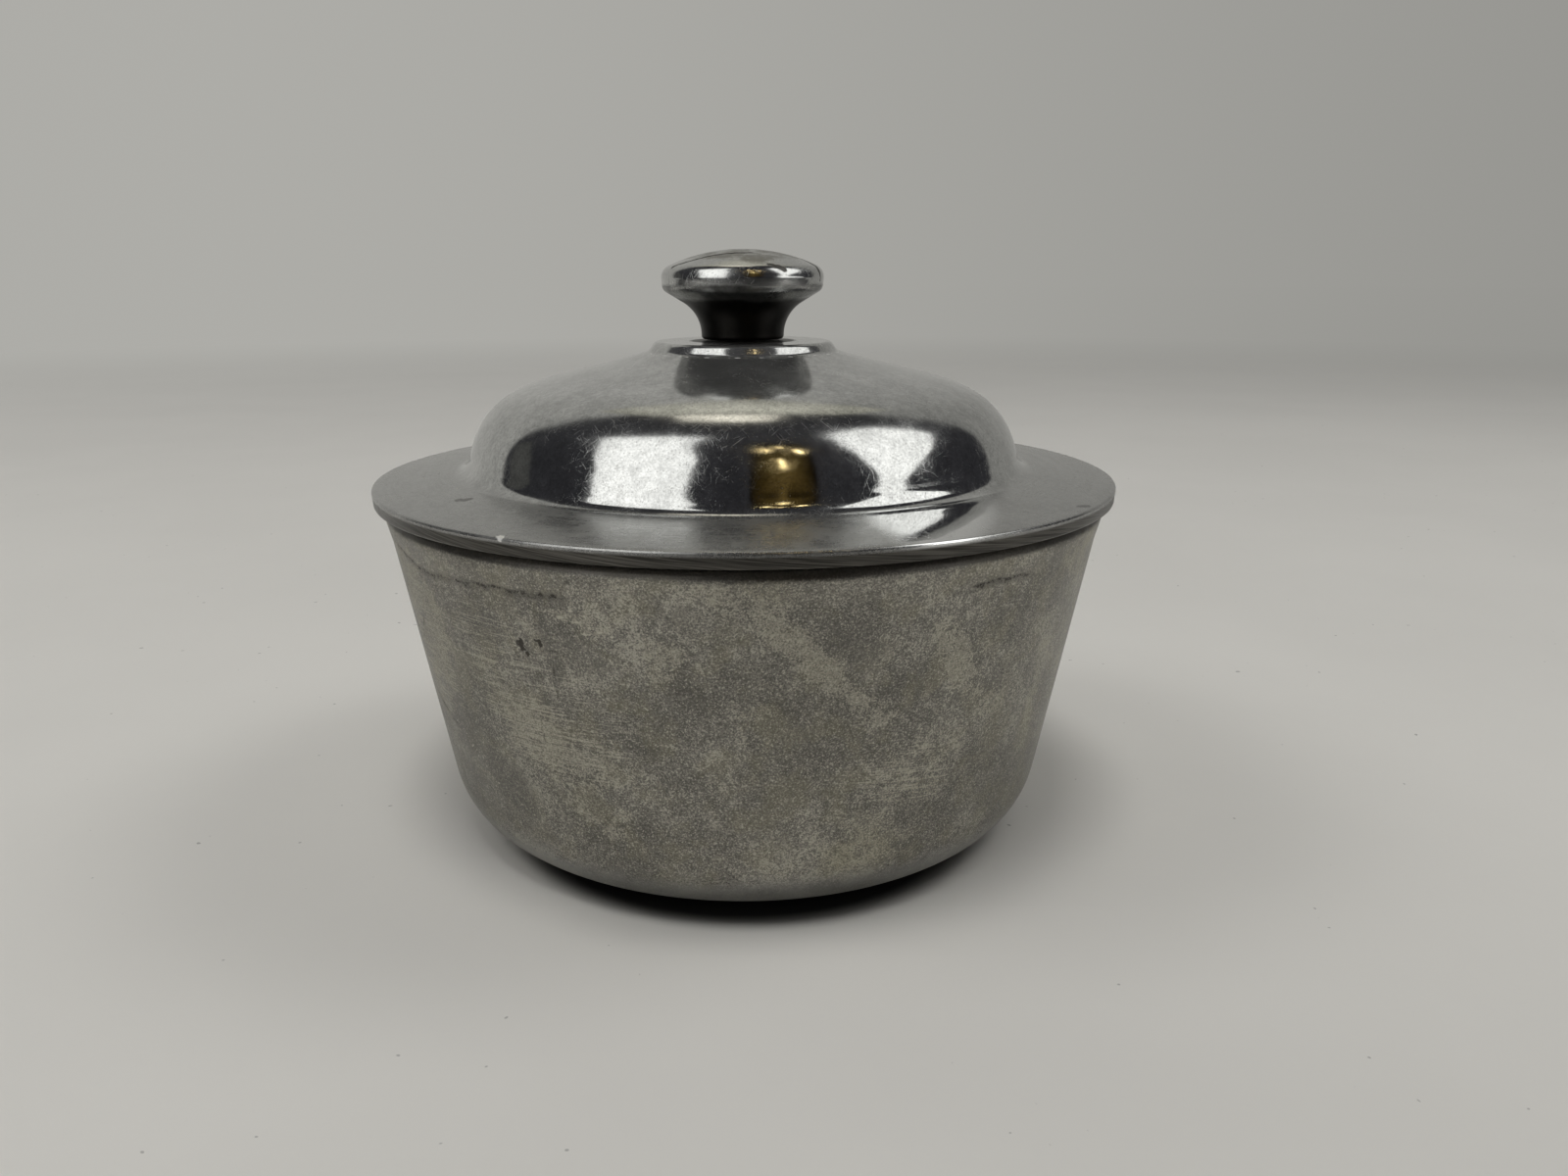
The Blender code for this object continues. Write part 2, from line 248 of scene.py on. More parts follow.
def corner_arc(before, corner, after, radius, count=8):
    """The arc of a radius that touches both edges of a corner: its centre lies on the corner's bisector, and
    the arc turns evenly from one touching point to the other."""
    into = (corner - before) / np.linalg.norm(corner - before)
    out = (after - corner) / np.linalg.norm(after - corner)
    cross = into[0, 0] * out[0, 1] - into[0, 1] * out[0, 0]
    turn = math.atan2(cross, float((into * out).sum()))
    reach = radius * math.tan(abs(turn) / 2)
    side = math.copysign(1, turn)
    centre = corner - into * reach + np.array([[-into[0, 1], into[0, 0]]]) * side * radius
    start = math.atan2(*(corner - into * reach - centre)[0, ::-1])
    angles = start + turn * np.linspace(0, 1, count + 1)
    return centre + radius * np.stack([np.cos(angles), np.sin(angles)], axis=1)


def beside(curve, first_wall, last_wall):
    """The curve to the left of another at a distance that changes evenly from first_wall to last_wall."""
    along = np.gradient(curve, axis=0)
    along /= np.linalg.norm(along, axis=1)[:, None]
    wall = np.linspace(first_wall, last_wall, len(curve))[:, None]
    return curve + np.stack([-along[:, 1], along[:, 0]], axis=1) * wall


def even(outline, spacing):
    """The same outline with points at least as close as the spacing, its own points kept."""
    steps = np.linalg.norm(np.diff(outline, axis=0), axis=1)
    counts = np.maximum(1, np.ceil(steps / spacing)).astype(int)
    first = np.repeat(np.arange(len(steps)), counts)
    order = np.arange(counts.sum()) - np.repeat(np.cumsum(counts) - counts, counts)
    t = (order / counts[first])[:, None]
    return np.vstack([outline[first] * (1 - t) + outline[first + 1] * t, outline[-1:]])


# Turned surfaces


def turned_grid(outline, columns):
    """P(s, a) = (r(s) sin a, -r(s) cos a, z(s)), for angles a from the back, all the way round."""
    angles = -math.pi + 2 * math.pi * np.arange(columns) / columns
    radius, height = outline[:, :1], outline[:, 1:]
    x = radius * np.sin(angles)
    y = -radius * np.cos(angles)
    z = np.broadcast_to(height, x.shape)
    return np.stack([x, y, z], axis=2), np.broadcast_to(angles, x.shape)


def unrolled(outline, angles):
    """Q(s, a) = (s sin a, -s cos a, 0), where s is the length along the outline, counted from the axis.
    Scratches are drawn on it, so that they keep their width on slopes of any steepness."""
    steps = np.linalg.norm(np.diff(outline, axis=0), axis=1)
    reach = outline[0, 0] + np.concatenate([[0], np.cumsum(steps)])[:, None]
    return np.stack([reach * np.sin(angles), -reach * np.cos(angles), np.zeros(angles.shape)], axis=2)


def grid_uv(rows, columns, closed):
    """The share of the way round and along at the four corners of every quad of a grid."""
    spans = rows if closed else rows - 1
    u, v = np.meshgrid(np.arange(columns) / columns, np.arange(spans) / spans)
    right, up = u + 1 / columns, v + 1 / spans
    return np.stack([u, v, right, v, right, up, u, up], axis=2).reshape(-1, 4, 2)


def grid_quads(rows, columns, closed):
    """The four point numbers of every quad. Columns join round the axis. Rows join end to end when closed;
    otherwise the first and the last row, which lie on the axis, each become a single point."""
    ids = np.arange(rows * columns).reshape(rows, columns)
    near, far = (ids, np.roll(ids, -1, axis=0)) if closed else (ids[:-1], ids[1:])
    quads = np.stack([near, np.roll(near, -1, 1), np.roll(far, -1, 1), far], axis=2).reshape(-1, 4)
    if closed:
        return quads
    merged = np.arange(rows * columns)
    merged[ids[0]] = ids[0, 0]
    merged[ids[-1]] = ids[-1, 0]
    return merged[quads]


def grid_mesh(name, grid, closed):
    """A mesh from rows and columns of points, and the numbers of the points that it uses. A corner that
    repeats the one before it is left out, so the quads at a single point become triangles."""
    rows, columns = grid.shape[:2]
    quads = grid_quads(rows, columns, closed)
    kept = quads != np.roll(quads, 1, axis=1)
    used, corners = np.unique(quads[kept], return_inverse=True)
    totals = kept.sum(axis=1)
    mesh = bpy.data.meshes.new(name)
    mesh.vertices.add(len(used))
    mesh.vertices.foreach_set("co", grid.reshape(-1, 3)[used].astype(np.float32).reshape(-1))
    mesh.loops.add(len(corners))
    mesh.loops.foreach_set("vertex_index", corners.astype(np.int32))
    mesh.polygons.add(len(totals))
    mesh.polygons.foreach_set("loop_start", (np.cumsum(totals) - totals).astype(np.int32))
    layer = mesh.uv_layers.new(name="around_and_along")
    layer.data.foreach_set("uv", grid_uv(rows, columns, closed)[kept].astype(np.float32).reshape(-1))
    mesh.update(calc_edges=True)
    mesh.validate()
    return mesh, used


def outward(mesh):
    """Turns every face over if the enclosed volume, the sum of p1 . (p2 x p3) / 6 over the triangles, is
    less than nothing."""
    mesh.calc_loop_triangles()
    corners = np.empty(len(mesh.loop_triangles) * 3, np.int32)
    mesh.loop_triangles.foreach_get("vertices", corners)
    places = np.empty(len(mesh.vertices) * 3, np.float32)
    mesh.vertices.foreach_get("co", places)
    a, b, c = places.reshape(-1, 3).astype(float)[corners.reshape(-1, 3)].transpose(1, 0, 2)
    if (a * np.cross(b, c)).sum() < 0:
        mesh.flip_normals()


def finish_piece(name, grid, closed, flat, masks, material, body, node):
    """Puts a turned surface into the scene in place of its solid: smooth, with its unrolled coordinates, its
    masks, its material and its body."""
    mesh, used = grid_mesh(name, grid, closed)
    outward(mesh)
    mesh.shade_smooth()
    mesh.set_sharp_from_angle(angle=SHARP_ANGLE)
    for label, values in masks.items():
        layer = mesh.attributes.new(label, "FLOAT", "POINT")
        layer.data.foreach_set("value", values.reshape(-1)[used].astype(np.float32))
    layer = mesh.attributes.new("unrolled", "FLOAT_VECTOR", "POINT")
    layer.data.foreach_set("vector", flat.reshape(-1, 3)[used].astype(np.float32).reshape(-1))
    mesh.materials.append(material)
    piece = bpy.data.objects.new(name, mesh)
    bpy.context.collection.objects.link(piece)
    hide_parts(node)
    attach(piece, body)


# Marks on the bowl's wall. Each patch is (angle in degrees, height, half width, half height in mm, tilt in
# degrees, strength); a positive tilt raises its right end.
BUFF_PATCHES = (
    (-57, 42, 8.5, 13, 8, 1.0), (-62, 51, 5, 5, 0, 0.8), (-38, 34, 8, 3, -20, 0.5),
    (-31, 29, 10, 5.5, -20, 1.0), (-24, 27, 6, 6, 0, 0.85), (-23, 17, 10, 5, -8, 0.6),
    (-10, 44, 3.2, 5, -20, 0.75), (-22, 49.3, 7, 1.1, -14, 0.8), (8, 45.5, 15, 2.8, -46, 1.0),
    (-2, 54, 6, 2.6, -10, 0.7), (18, 36, 6, 2.6, -30, 0.8), (26, 26, 12, 8, -12, 0.58),
    (31, 42, 10, 3.4, -52, 0.9), (40, 33, 4.5, 2.2, -8, 0.8), (58, 53, 8, 5, 0, 0.7),
    (2, 37, 5, 7, 10, 0.45), (-3, 27, 5, 5, 0, 0.4), (18, 12, 8, 4, 6, 0.65), (54, 36, 4, 10, 10, 0.45),
    (-45, 55, 8, 2.2, 0, 0.5), (-14, 56, 9, 1.6, 0, 0.55), (30, 55, 10, 2, 0, 0.5),
    (84, 44, 9, 10, -30, 0.9), (97, 27, 12, 6, 12, 0.8), (118, 46, 14, 3, -40, 0.9),
    (131, 22, 8, 8, 0, 0.6), (149, 40, 9, 9, 30, 0.85), (166, 17, 11, 5, -10, 0.7),
    (178, 48, 13, 2.6, 36, 0.9), (-166, 30, 9, 9, 0, 0.8), (-149, 46, 7, 6, -20, 0.8),
    (-136, 20, 12, 5, -16, 0.7), (-121, 38, 10, 8, 15, 0.9), (-104, 50, 8, 4, 0, 0.7),
    (-94, 25, 9, 7, -20, 0.8), (-78, 33, 6, 9, 0, 0.7),
)
# The two large dark patches low on the left, at -56 degrees 14 mm and -36 degrees 11 mm, are partly the
# wall's own darker tone and partly painted shade on the bowl's left side.
DARK_PATCHES = (
    (-62, 52.5, 2.2, 4, 10, 1.0), (38, 35.9, 1.8, 0.9, -10, 1.0), (-39, 46.5, 6, 4.2, -10, 0.8),
    (-60.5, 40.5, 1.6, 3.8, 15, 1.0), (-63, 48, 1.3, 4, 20, 1.0), (-27.5, 47, 1.1, 5, 2, 0.9),
    (-26.4, 41.5, 1.7, 3, -8, 1.0), (-29.5, 35.5, 1.3, 3.4, -12, 0.9), (-6, 50, 8, 4, -14, 0.6),
    (14.5, 47, 7, 4.5, -30, 0.75), (6, 34, 7, 6, 20, 0.55), (1.5, 17.5, 9, 6, 0, 0.5),
    (24.8, 38.4, 1.5, 1.6, 0, 0.9), (-42, 19, 9, 5, -34, 0.95), (-52, 26, 6, 8, -30, 0.9),
    (-56, 14, 13, 8, -8, 0.75), (-36, 11, 10, 4, -6, 0.6), (-20, 33, 5, 5, 0, 0.5), (-48, 47, 6, 4, 0, 0.5),
    (43, 23, 5, 9, 14, 0.6), (-15, 36, 5, 5, 0, 0.45), (-22, 45, 6, 5, -10, 0.75), (-45, 37, 5, 5, 0, 0.6),
    (22, 50, 6, 3, 0, 0.5), (38, 49, 4, 3, 0, 0.5), (-8, 39.5, 2.6, 2.2, 30, 0.6), (72, 30, 8, 9, 10, 0.7),
    (90, 52, 7, 3, 0, 0.6), (107, 36, 6, 8, -20, 0.8), (127, 33, 5, 5, 0, 0.7), (140, 52, 6, 3, 0, 0.6),
    (158, 30, 7, 6, 30, 0.8), (-176, 20, 8, 6, 0, 0.7), (-158, 42, 6, 6, 20, 0.7), (-140, 33, 7, 5, 0, 0.7),
    (-112, 26, 7, 8, -20, 0.8), (-88, 42, 6, 7, 10, 0.7),
)
STREAK_PATCHES = (
    (-39, 43, 8, 5, -4, 1.0), (-30, 33, 13, 8, -10, 0.9), (-57, 38, 7, 12, 0, 0.6),
    (25, 24, 12, 6, -6, 0.42), (36, 50, 8, 3, 0, 0.3), (95, 30, 14, 8, 6, 0.8), (150, 38, 12, 8, -10, 0.7),
    (-165, 28, 12, 8, 0, 0.8), (-120, 40, 12, 9, 0, 0.9), (-88, 26, 9, 8, 0, 0.7),
)
WARM_PATCHES = (
    (19, 12, 9, 7, 10, 1.0), (27, 19, 6, 6, 0, 0.6), (3, 56, 5, 3, -10, 0.9), (4, 34, 6, 8, 0, 0.5),
    (54, 22, 4, 12, 14, 0.6), (-23, 11, 9, 4, 0, 0.35), (104, 14, 10, 6, 0, 0.7), (-110, 16, 10, 7, 0, 0.8),
    (172, 12, 12, 6, 0, 0.7),
)
PITS = (
    (-32.1, 44.7, 0.8, 0.85, 25, 1.0), (-31.7, 43.8, 0.6, 0.5, 0, 1.0), (-31.3, 43.0, 0.45, 0.4, 0, 0.9),
    (-28.9, 45.2, 0.5, 0.9, 10, 0.9), (-26.6, 37.5, 0.5, 0.8, 0, 0.5), (-4.6, 48.9, 0.45, 0.5, 0, 1.0),
    (-3.9, 49.6, 0.2, 0.2, 0, 1.0), (-29.6, 45.6, 0.25, 0.5, 10, 0.8), (-19.5, 53.6, 0.3, 0.2, 0, 0.8),
    (28.9, 42.2, 0.2, 0.25, 0, 0.7), (62, 33, 0.3, 0.4, 0, 0.9), (111, 41, 0.5, 0.4, 0, 1.0),
    (163, 37, 0.4, 0.6, 0, 1.0), (-142, 28, 0.5, 0.5, 0, 1.0), (-101, 45, 0.3, 0.4, 0, 1.0),
)
PATCHES = {
    "buff": BUFF_PATCHES, "dark": DARK_PATCHES, "streak": STREAK_PATCHES, "warm": WARM_PATCHES,
    "pit": PITS,
}
# Runs of the crack under the rim band as (angle in degrees, height in mm), and how far off it matters, in mm
CRACKS = (
    ((-66, 54.4), (-60.5, 53.6), (-54.9, 52.1), (-47.8, 51.9), (-42.6, 52.4), (-35.7, 52.7), (-23.5, 52.7)),
    ((31.5, 52.9), (35.7, 53.5), (41.5, 52.9)), ((88, 52.9), (96, 52.2), (104, 52.6)),
    ((146, 52.6), (153, 52.9)), ((-158, 52.2), (-145, 52.9), (-131, 52.4)),
    ((-64, 28.4), (-58, 26.0), (-56, 25.2)),
)
CRACK_REACH = 3.0
# Single scratches on the bowl, as runs of (angle in degrees, height in mm)
CUTS = (
    ((-41, 51.2), (-38.8, 49.2), (-37.2, 50.2)), ((-28, 50.5), (-22, 49.2), (-16.7, 47.4)),
    ((-27, 49.6), (-20.5, 47.6)), ((-25, 48.6), (-18, 46.6)), ((-24, 51.2), (-15.5, 48.6)),
    ((-58, 29), (-47, 20)), ((-17.2, 53.3), (-14.6, 53.2), (-12.1, 52.6)), ((-56, 26), (-43, 15.5)),
    ((-50, 20), (-33, 13.2)), ((12, 44.6), (16.4, 41.2)), ((62, 30), (69, 22)), ((104, 33), (113, 38)),
    ((142, 20), (151, 27)), ((-171, 39), (-160, 44)), ((-128, 18), (-117, 22)), ((-99, 34), (-92, 29)),
)
# Thin dark cracks and stains, mostly upright, given the same way
STAINS = (
    ((-33.6, 51), (-34.4, 47.9)), ((-28.4, 51.4), (-28.9, 47.6), (-29.1, 44.6)), ((-27, 44.3), (-24.8, 44)),
    ((-26.7, 42.8), (-27.2, 40.3), (-26.8, 39.5), (-27, 36.9)),
    ((-31.5, 34.8), (-31.3, 31.3), (-30.9, 28.4)), ((-37, 33.9), (-36.1, 32.5)),
    ((-24.4, 52.8), (-23.1, 55), (-20.3, 56.1)), ((-4.6, 48.8), (-3.7, 47.7), (-1.8, 47.7)),
    ((-60.8, 44.9), (-58.5, 42.7), (-61, 40.4), (-62.5, 38.4)), ((-63, 55), (-62.8, 50.6), (-59.7, 48.9)),
    ((-66, 52), (-64.5, 47)), ((-29.5, 26.5), (-30.2, 24)), ((60, 48), (61, 42)),
    ((98, 40), (99, 33), (97, 29)), ((133, 47), (136, 41)), ((170, 50), (171, 44)),
    ((-150, 36), (-148, 28)), ((-115, 48), (-117, 43), (-116, 39)),
)
# Scores on the knob's crown, as runs of (angle in degrees, distance from the axis in mm)
SCORES = (
    ((-62, 12.9), (-52, 11), (-36, 8.3), (-18, 7.1), (0, 6.7), (14, 6.7)),
    ((84, 7.6), (80, 9.6), (75, 11.6), (69, 13.6)), ((77, 10.4), (72, 12), (70, 12.8)),
    ((150, 6), (168, 8.5), (-170, 11.5)), ((-120, 9), (-108, 11.6)), ((98, 7.5), (112, 10.5), (110, 12.6)),
    ((20, 12.3), (30, 13.4)),
)
# Pits on the flange and chips on its upper edge, given the same way
LID_PITS = (
    ((-51.8, 52.6), (-51.6, 53.6)), ((-53, 53.9), (-52.4, 54.2)), ((54, 61.6), (55.6, 62.3)),
    ((131, 55), (132, 55.4)),
)
LID_CHIPS = (((-31.4, 62.8), (-31.0, 63.1)), ((-140, 63), (-139.4, 63)))


def grown(values, start, end):
    """0 at the start, 1 at the end, straight between them, and no further outside."""
    return np.clip((values - start) / (end - start), 0, 1)


def hump(values, middle, width):
    """1 at the middle, falling off to both sides as exp(-((value - middle) / width)^2)."""
    return np.exp(-((values - middle) / width) ** 2)


def patch_field(angles, heights, radius, patches):
    """Strength of the nearest patch at each point: strength (1.5 - d), kept between 0 and the strength,
    where d is the distance from the patch's centre in its own tilted half widths, measured on the
    unrolled wall."""
    table = np.array(patches, dtype=float)
    turn = (angles[..., None] - np.radians(table[:, 0]) + math.pi) % (2 * math.pi) - math.pi
    across, up = turn * radius / MM, heights[..., None] / MM - table[:, 1]
    tilt = np.radians(table[:, 4])
    u = (across * np.cos(tilt) + up * np.sin(tilt)) / table[:, 2]
    v = (up * np.cos(tilt) - across * np.sin(tilt)) / table[:, 3]
    return (table[:, 5] * np.clip(1.5 - np.hypot(u, v), 0, 1)).max(axis=-1)


def crack_field(angles, heights, radius):
    """Signed height above the nearest run of the crack in mm, kept within CRACK_REACH, and its presence,
    which fades over the last mm at both ends of a run. The line between the corners wanders by sines of
    the angle."""
    turn = np.degrees(angles)
    wander = 0.14 * np.sin(angles * 37) + 0.1 * np.sin(angles * 83 + 1) + 0.06 * np.sin(angles * 171)
    off, presence = np.full(angles.shape, CRACK_REACH), np.zeros(angles.shape)
    for run in CRACKS:
        corners = np.array(run, dtype=float)
        above = heights / MM - np.interp(turn, corners[:, 0], corners[:, 1]) - wander
        inside = np.minimum(turn - corners[0, 0], corners[-1, 0] - turn) * math.radians(radius / MM)
        off = np.where((np.abs(above) < np.abs(off)) & (inside > -2), above, off)
        presence = np.maximum(presence, np.clip(inside + 1, 0, 1) * (np.abs(above) < CRACK_REACH))
    return np.clip(off, -CRACK_REACH, CRACK_REACH), presence


def stroke_field(u, v, strokes, reach=1.1, radius=None):
    """Nearness to the strokes, 1 on a line and 0 at the reach (mm) from it: the distance from (u, v) to each
    straight run. Strokes are (angle, distance from the axis), or (angle, height) on a wall of the radius."""
    nearness = np.zeros(u.shape)
    for stroke in strokes:
        turn, far = np.radians([run[0] for run in stroke]), np.array([run[1] for run in stroke]) * MM
        places = [turn * radius, far] if radius else [far * np.sin(turn), -far * np.cos(turn)]
        corners = np.stack(places, axis=1)
        for start, end in zip(corners[:-1], corners[1:]):
            run = end - start
            along = np.clip(((u - start[0]) * run[0] + (v - start[1]) * run[1]) / (run @ run), 0, 1)
            off = np.hypot(u - start[0] - along * run[0], v - start[1] - along * run[1])
            nearness = np.maximum(nearness, 1 - off / (reach * MM))
    return nearness


# Node trees


class Nodes:
    """Puts nodes into one tree. A value given for a socket is either another node's output or a number."""

    def __init__(self, tree):
        self.tree = tree

    def fill(self, made, values):
        """Fills a node's sockets."""
        for socket, value in values.items():
            if isinstance(value, bpy.types.NodeSocket):
                self.tree.links.new(value, made.inputs[socket])
            else:
                made.inputs[socket].default_value = value
        return made

    def add(self, kind, values=None, **settings):
        """One node with its settings and its sockets filled."""
        made = self.tree.nodes.new(kind)
        for key, value in settings.items():
            setattr(made, key, value)
        return self.fill(made, values or {})

    def group(self, make, **values):
        """A node that holds a shared effect, by the function that makes it. The effect is made once."""
        tree = bpy.data.node_groups.get(make.__name__) or make()
        return self.fill(self.add("ShaderNodeGroup", node_tree=tree), values).outputs

    def math(self, operation, first, second=0.0, clamp=False):
        """A Math node's result."""
        values = {0: first, 1: second}
        return self.add("ShaderNodeMath", values, operation=operation, use_clamp=clamp).outputs[0]

    def times(self, first, second):
        """The product of two values."""
        return self.math("MULTIPLY", first, second)

    def most(self, first, second):
        """The greater of two values."""
        return self.math("MAXIMUM", first, second)

    def centred(self, value):
        """A value less a half, for patterns that lie round a half."""
        return self.math("SUBTRACT", value, 0.5)

    def total(self, start, *terms, clamp=False):
        """The start plus the value times the weight of every term; clamp keeps the end between 0 and 1."""
        for order, (value, weight) in enumerate(terms, 1):
            last = clamp and order == len(terms)
            start = self.math("ADD", start, self.times(value, weight), clamp=last)
        return start

    def vector(self, operation, first, second):
        """A Vector Math node's result."""
        return self.add("ShaderNodeVectorMath", {0: first, 1: second}, operation=operation).outputs[0]

    def size(self, vector):
        """The length of a vector."""
        return self.add("ShaderNodeVectorMath", {0: vector}, operation="LENGTH").outputs["Value"]

    def parts(self, vector):
        """The X, Y and Z of a vector."""
        return self.add("ShaderNodeSeparateXYZ", {0: vector}).outputs

    def joined(self, **values):
        """A vector from its X, Y and Z."""
        return self.add("ShaderNodeCombineXYZ", values).outputs[0]

    def noise(self, vector, scale, detail=2.0, roughness=0.5, result="Fac"):
        """A noise pattern; the scale is in waves for each metre of the vector."""
        values = {"Vector": vector, "Scale": scale, "Detail": detail, "Roughness": roughness}
        return self.add("ShaderNodeTexNoise", values).outputs[result]

    def ramp(self, value, low, high, first=0.0, last=1.0):
        """A smooth step from first at low to last at high."""
        values = {"Value": value, "From Min": low, "From Max": high, "To Min": first, "To Max": last}
        return self.add("ShaderNodeMapRange", values, interpolation_type="SMOOTHSTEP").outputs[0]

    def blend(self, factor, first, second):
        """A mix of two colours, each either another node's output or red, green and blue. The Mix node takes
        its colours at sockets 6 and 7 and hands on a colour at 2."""
        colours = {6: solid(first), 7: solid(second)}
        return self.add("ShaderNodeMix", {0: factor, **colours}, data_type="RGBA").outputs[2]

    def layered(self, tint, *layers):
        """Colours laid over one another in order, each by its factor times its share."""
        for factor, colour, share in layers:
            tint = self.blend(self.times(factor, share), tint, colour)
        return tint

    def mask(self, name, result="Fac"):
        """A value that the mesh carries for each point."""
        return self.add("ShaderNodeAttribute", attribute_name=name).outputs[result]

    def bump(self, height, distance, strength=1.0, **normal):
        """A Bump node's normal."""
        values = {"Height": height, "Distance": distance, "Strength": strength, **normal}
        return self.add("ShaderNodeBump", values).outputs[0]


def solid(tint):
    """A colour with full alpha; another node's output as it is."""
    return tint if isinstance(tint, bpy.types.NodeSocket) else (*tint, 1.0)


def dimmed(tint, part):
    """A colour times a part."""
    return tuple(part * value for value in tint)


def shared_effect(name, numbers, results):
    """An empty shader node group with a Vector input, number inputs and number outputs."""
    tree = bpy.data.node_groups.new(name, "ShaderNodeTree")
    tree.interface.new_socket(name="Vector", in_out="INPUT", socket_type="NodeSocketVector")
    for label, value in numbers.items():
        socket = tree.interface.new_socket(name=label, in_out="INPUT", socket_type="NodeSocketFloat")
        socket.default_value = value
    for label in results:
        tree.interface.new_socket(name=label, in_out="OUTPUT", socket_type="NodeSocketFloat")
    nodes = Nodes(tree)
    return nodes, nodes.add("NodeGroupInput").outputs, nodes.add("NodeGroupOutput")


# The scratches' directions in radians, and the step between the places that their cells are read from
SCRATCH_TURNS = (0.2, 1.15, 1.75, 2.3, 2.8, 0.75)
SEED_STEP = 7.3


def fine_scratches():
    """Fine scratches that run several ways: slow noise bends the unrolled coordinates, each direction
    stretches them along itself, and the middles of scattered cells there are the scratches. Some areas
    stay bare."""
    numbers = {"Length": 22 * MM, "Width": 0.7 * MM, "Depth": 0.1, "Spread": 0.5, "Seed": 0.0}
    nodes, given, handed = shared_effect("fine_scratches", numbers, ["Scratches"])
    bend = nodes.vector("SUBTRACT", nodes.noise(given["Vector"], 120, 1, result="Color"), (0.5, 0.5, 0.5))
    values = {0: bend, 1: (2.5 * MM, 2.5 * MM, 0), 2: given["Vector"]}
    bent = nodes.add("ShaderNodeVectorMath", values, operation="MULTIPLY_ADD").outputs[0]
    along, across = (nodes.math("DIVIDE", 1.0, given[label]) for label in ("Length", "Width"))
    stretch = nodes.joined(X=along, Y=across)
    inner = nodes.times(given["Depth"], 0.4)
    total = 0.0
    for order, turn in enumerate(SCRATCH_TURNS):
        values = {"Vector": bent, "Angle": turn}
        turned = nodes.add("ShaderNodeVectorRotate", values, rotation_type="Z_AXIS").outputs[0]
        shift = nodes.math("ADD", given["Seed"], order * SEED_STEP)
        drawn = nodes.vector("ADD", nodes.vector("MULTIPLY", turned, stretch), nodes.joined(X=shift, Y=shift))
        cells = nodes.add("ShaderNodeTexVoronoi", {"Vector": drawn, "Scale": 1.0}, voronoi_dimensions="2D")
        line = nodes.ramp(cells.outputs["Distance"], inner, given["Depth"], 1.0, 0.0)
        total = nodes.most(total, line)
    covered = nodes.ramp(nodes.math("ADD", nodes.noise(given["Vector"], 130, 3), given["Spread"]), 0.85, 1.15)
    nodes.fill(handed, {"Scratches": nodes.times(total, covered)})
    return nodes.tree


def slanted_lines():
    """Brush lines that climb a turned edge at a slant: the point is turned about the axis in step with its
    height, and a noise that is fine round the axis and slow up it is read there."""
    numbers = {"Turn": 150.0, "Fineness": 520.0, "Climb": 900.0}
    nodes, given, handed = shared_effect("slanted_lines", numbers, ["Lines"])
    turn = nodes.times(nodes.parts(given["Vector"])["Z"], given["Turn"])
    values = {"Vector": given["Vector"], "Angle": turn}
    turned = nodes.add("ShaderNodeVectorRotate", values, rotation_type="Z_AXIS").outputs[0]
    stretch = nodes.joined(X=given["Fineness"], Y=given["Fineness"], Z=given["Climb"])
    nodes.fill(handed, {"Lines": nodes.noise(nodes.vector("MULTIPLY", turned, stretch), 1.0)})
    return nodes.tree


def turning_lines():
    """Lines left round the axis by turning or rubbing: a noise that is fine across the height and the
    radius and slow round the axis. With a lean they sink towards +X there."""
    numbers = {"Fineness": 4000.0, "Run": 90.0, "Lean": 0.0}
    nodes, given, handed = shared_effect("turning_lines", numbers, ["Lines"])
    parts = nodes.parts(given["Vector"])
    flat = nodes.joined(X=parts["X"], Y=parts["Y"])
    level = nodes.math("ADD", nodes.size(flat), parts["Z"])
    level = nodes.times(nodes.total(level, (nodes.most(parts["X"], 0.0), given["Lean"])), given["Fineness"])
    slow = nodes.add("ShaderNodeVectorMath", {0: flat, "Scale": given["Run"]}, operation="SCALE").outputs[0]
    nodes.fill(handed, {"Lines": nodes.noise(nodes.vector("ADD", slow, nodes.joined(Z=level)), 1.0)})
    return nodes.tree


def casting_grain():
    """Speckle of a cast face: tiny bright and dark points, and a cloudy variation in several sizes."""
    numbers = {"Size": 0.35 * MM, "Cloud": 7 * MM}
    nodes, given, handed = shared_effect("casting_grain", numbers, ["Bright", "Dark", "Cloud"])
    fine, wide = (nodes.math("DIVIDE", 1.0, given[label]) for label in ("Size", "Cloud"))
    grain = nodes.noise(given["Vector"], fine, 2.0, 0.6)
    cloud = nodes.noise(given["Vector"], wide, 6.0, 0.62)
    results = {"Bright": nodes.ramp(grain, 0.6, 0.72), "Dark": nodes.ramp(grain, 0.42, 0.3), "Cloud": cloud}
    nodes.fill(handed, results)
    return nodes.tree


# Materials


def new_material(name):
    """A material with nothing in it, and its nodes."""
    material = bpy.data.materials.new(name)
    material.use_nodes = True
    material.node_tree.nodes.clear()
    return material, Nodes(material.node_tree)


def new_metal(name):
    """A metal material: its nodes, its shader and its Object coordinates."""
    material, nodes = new_material(name)
    shader = nodes.add("ShaderNodeBsdfPrincipled", {"Metallic": 1.0})
    nodes.add("ShaderNodeOutputMaterial", {"Surface": shader.outputs[0]})
    return material, nodes, shader, nodes.add("ShaderNodeTexCoord").outputs["Object"]
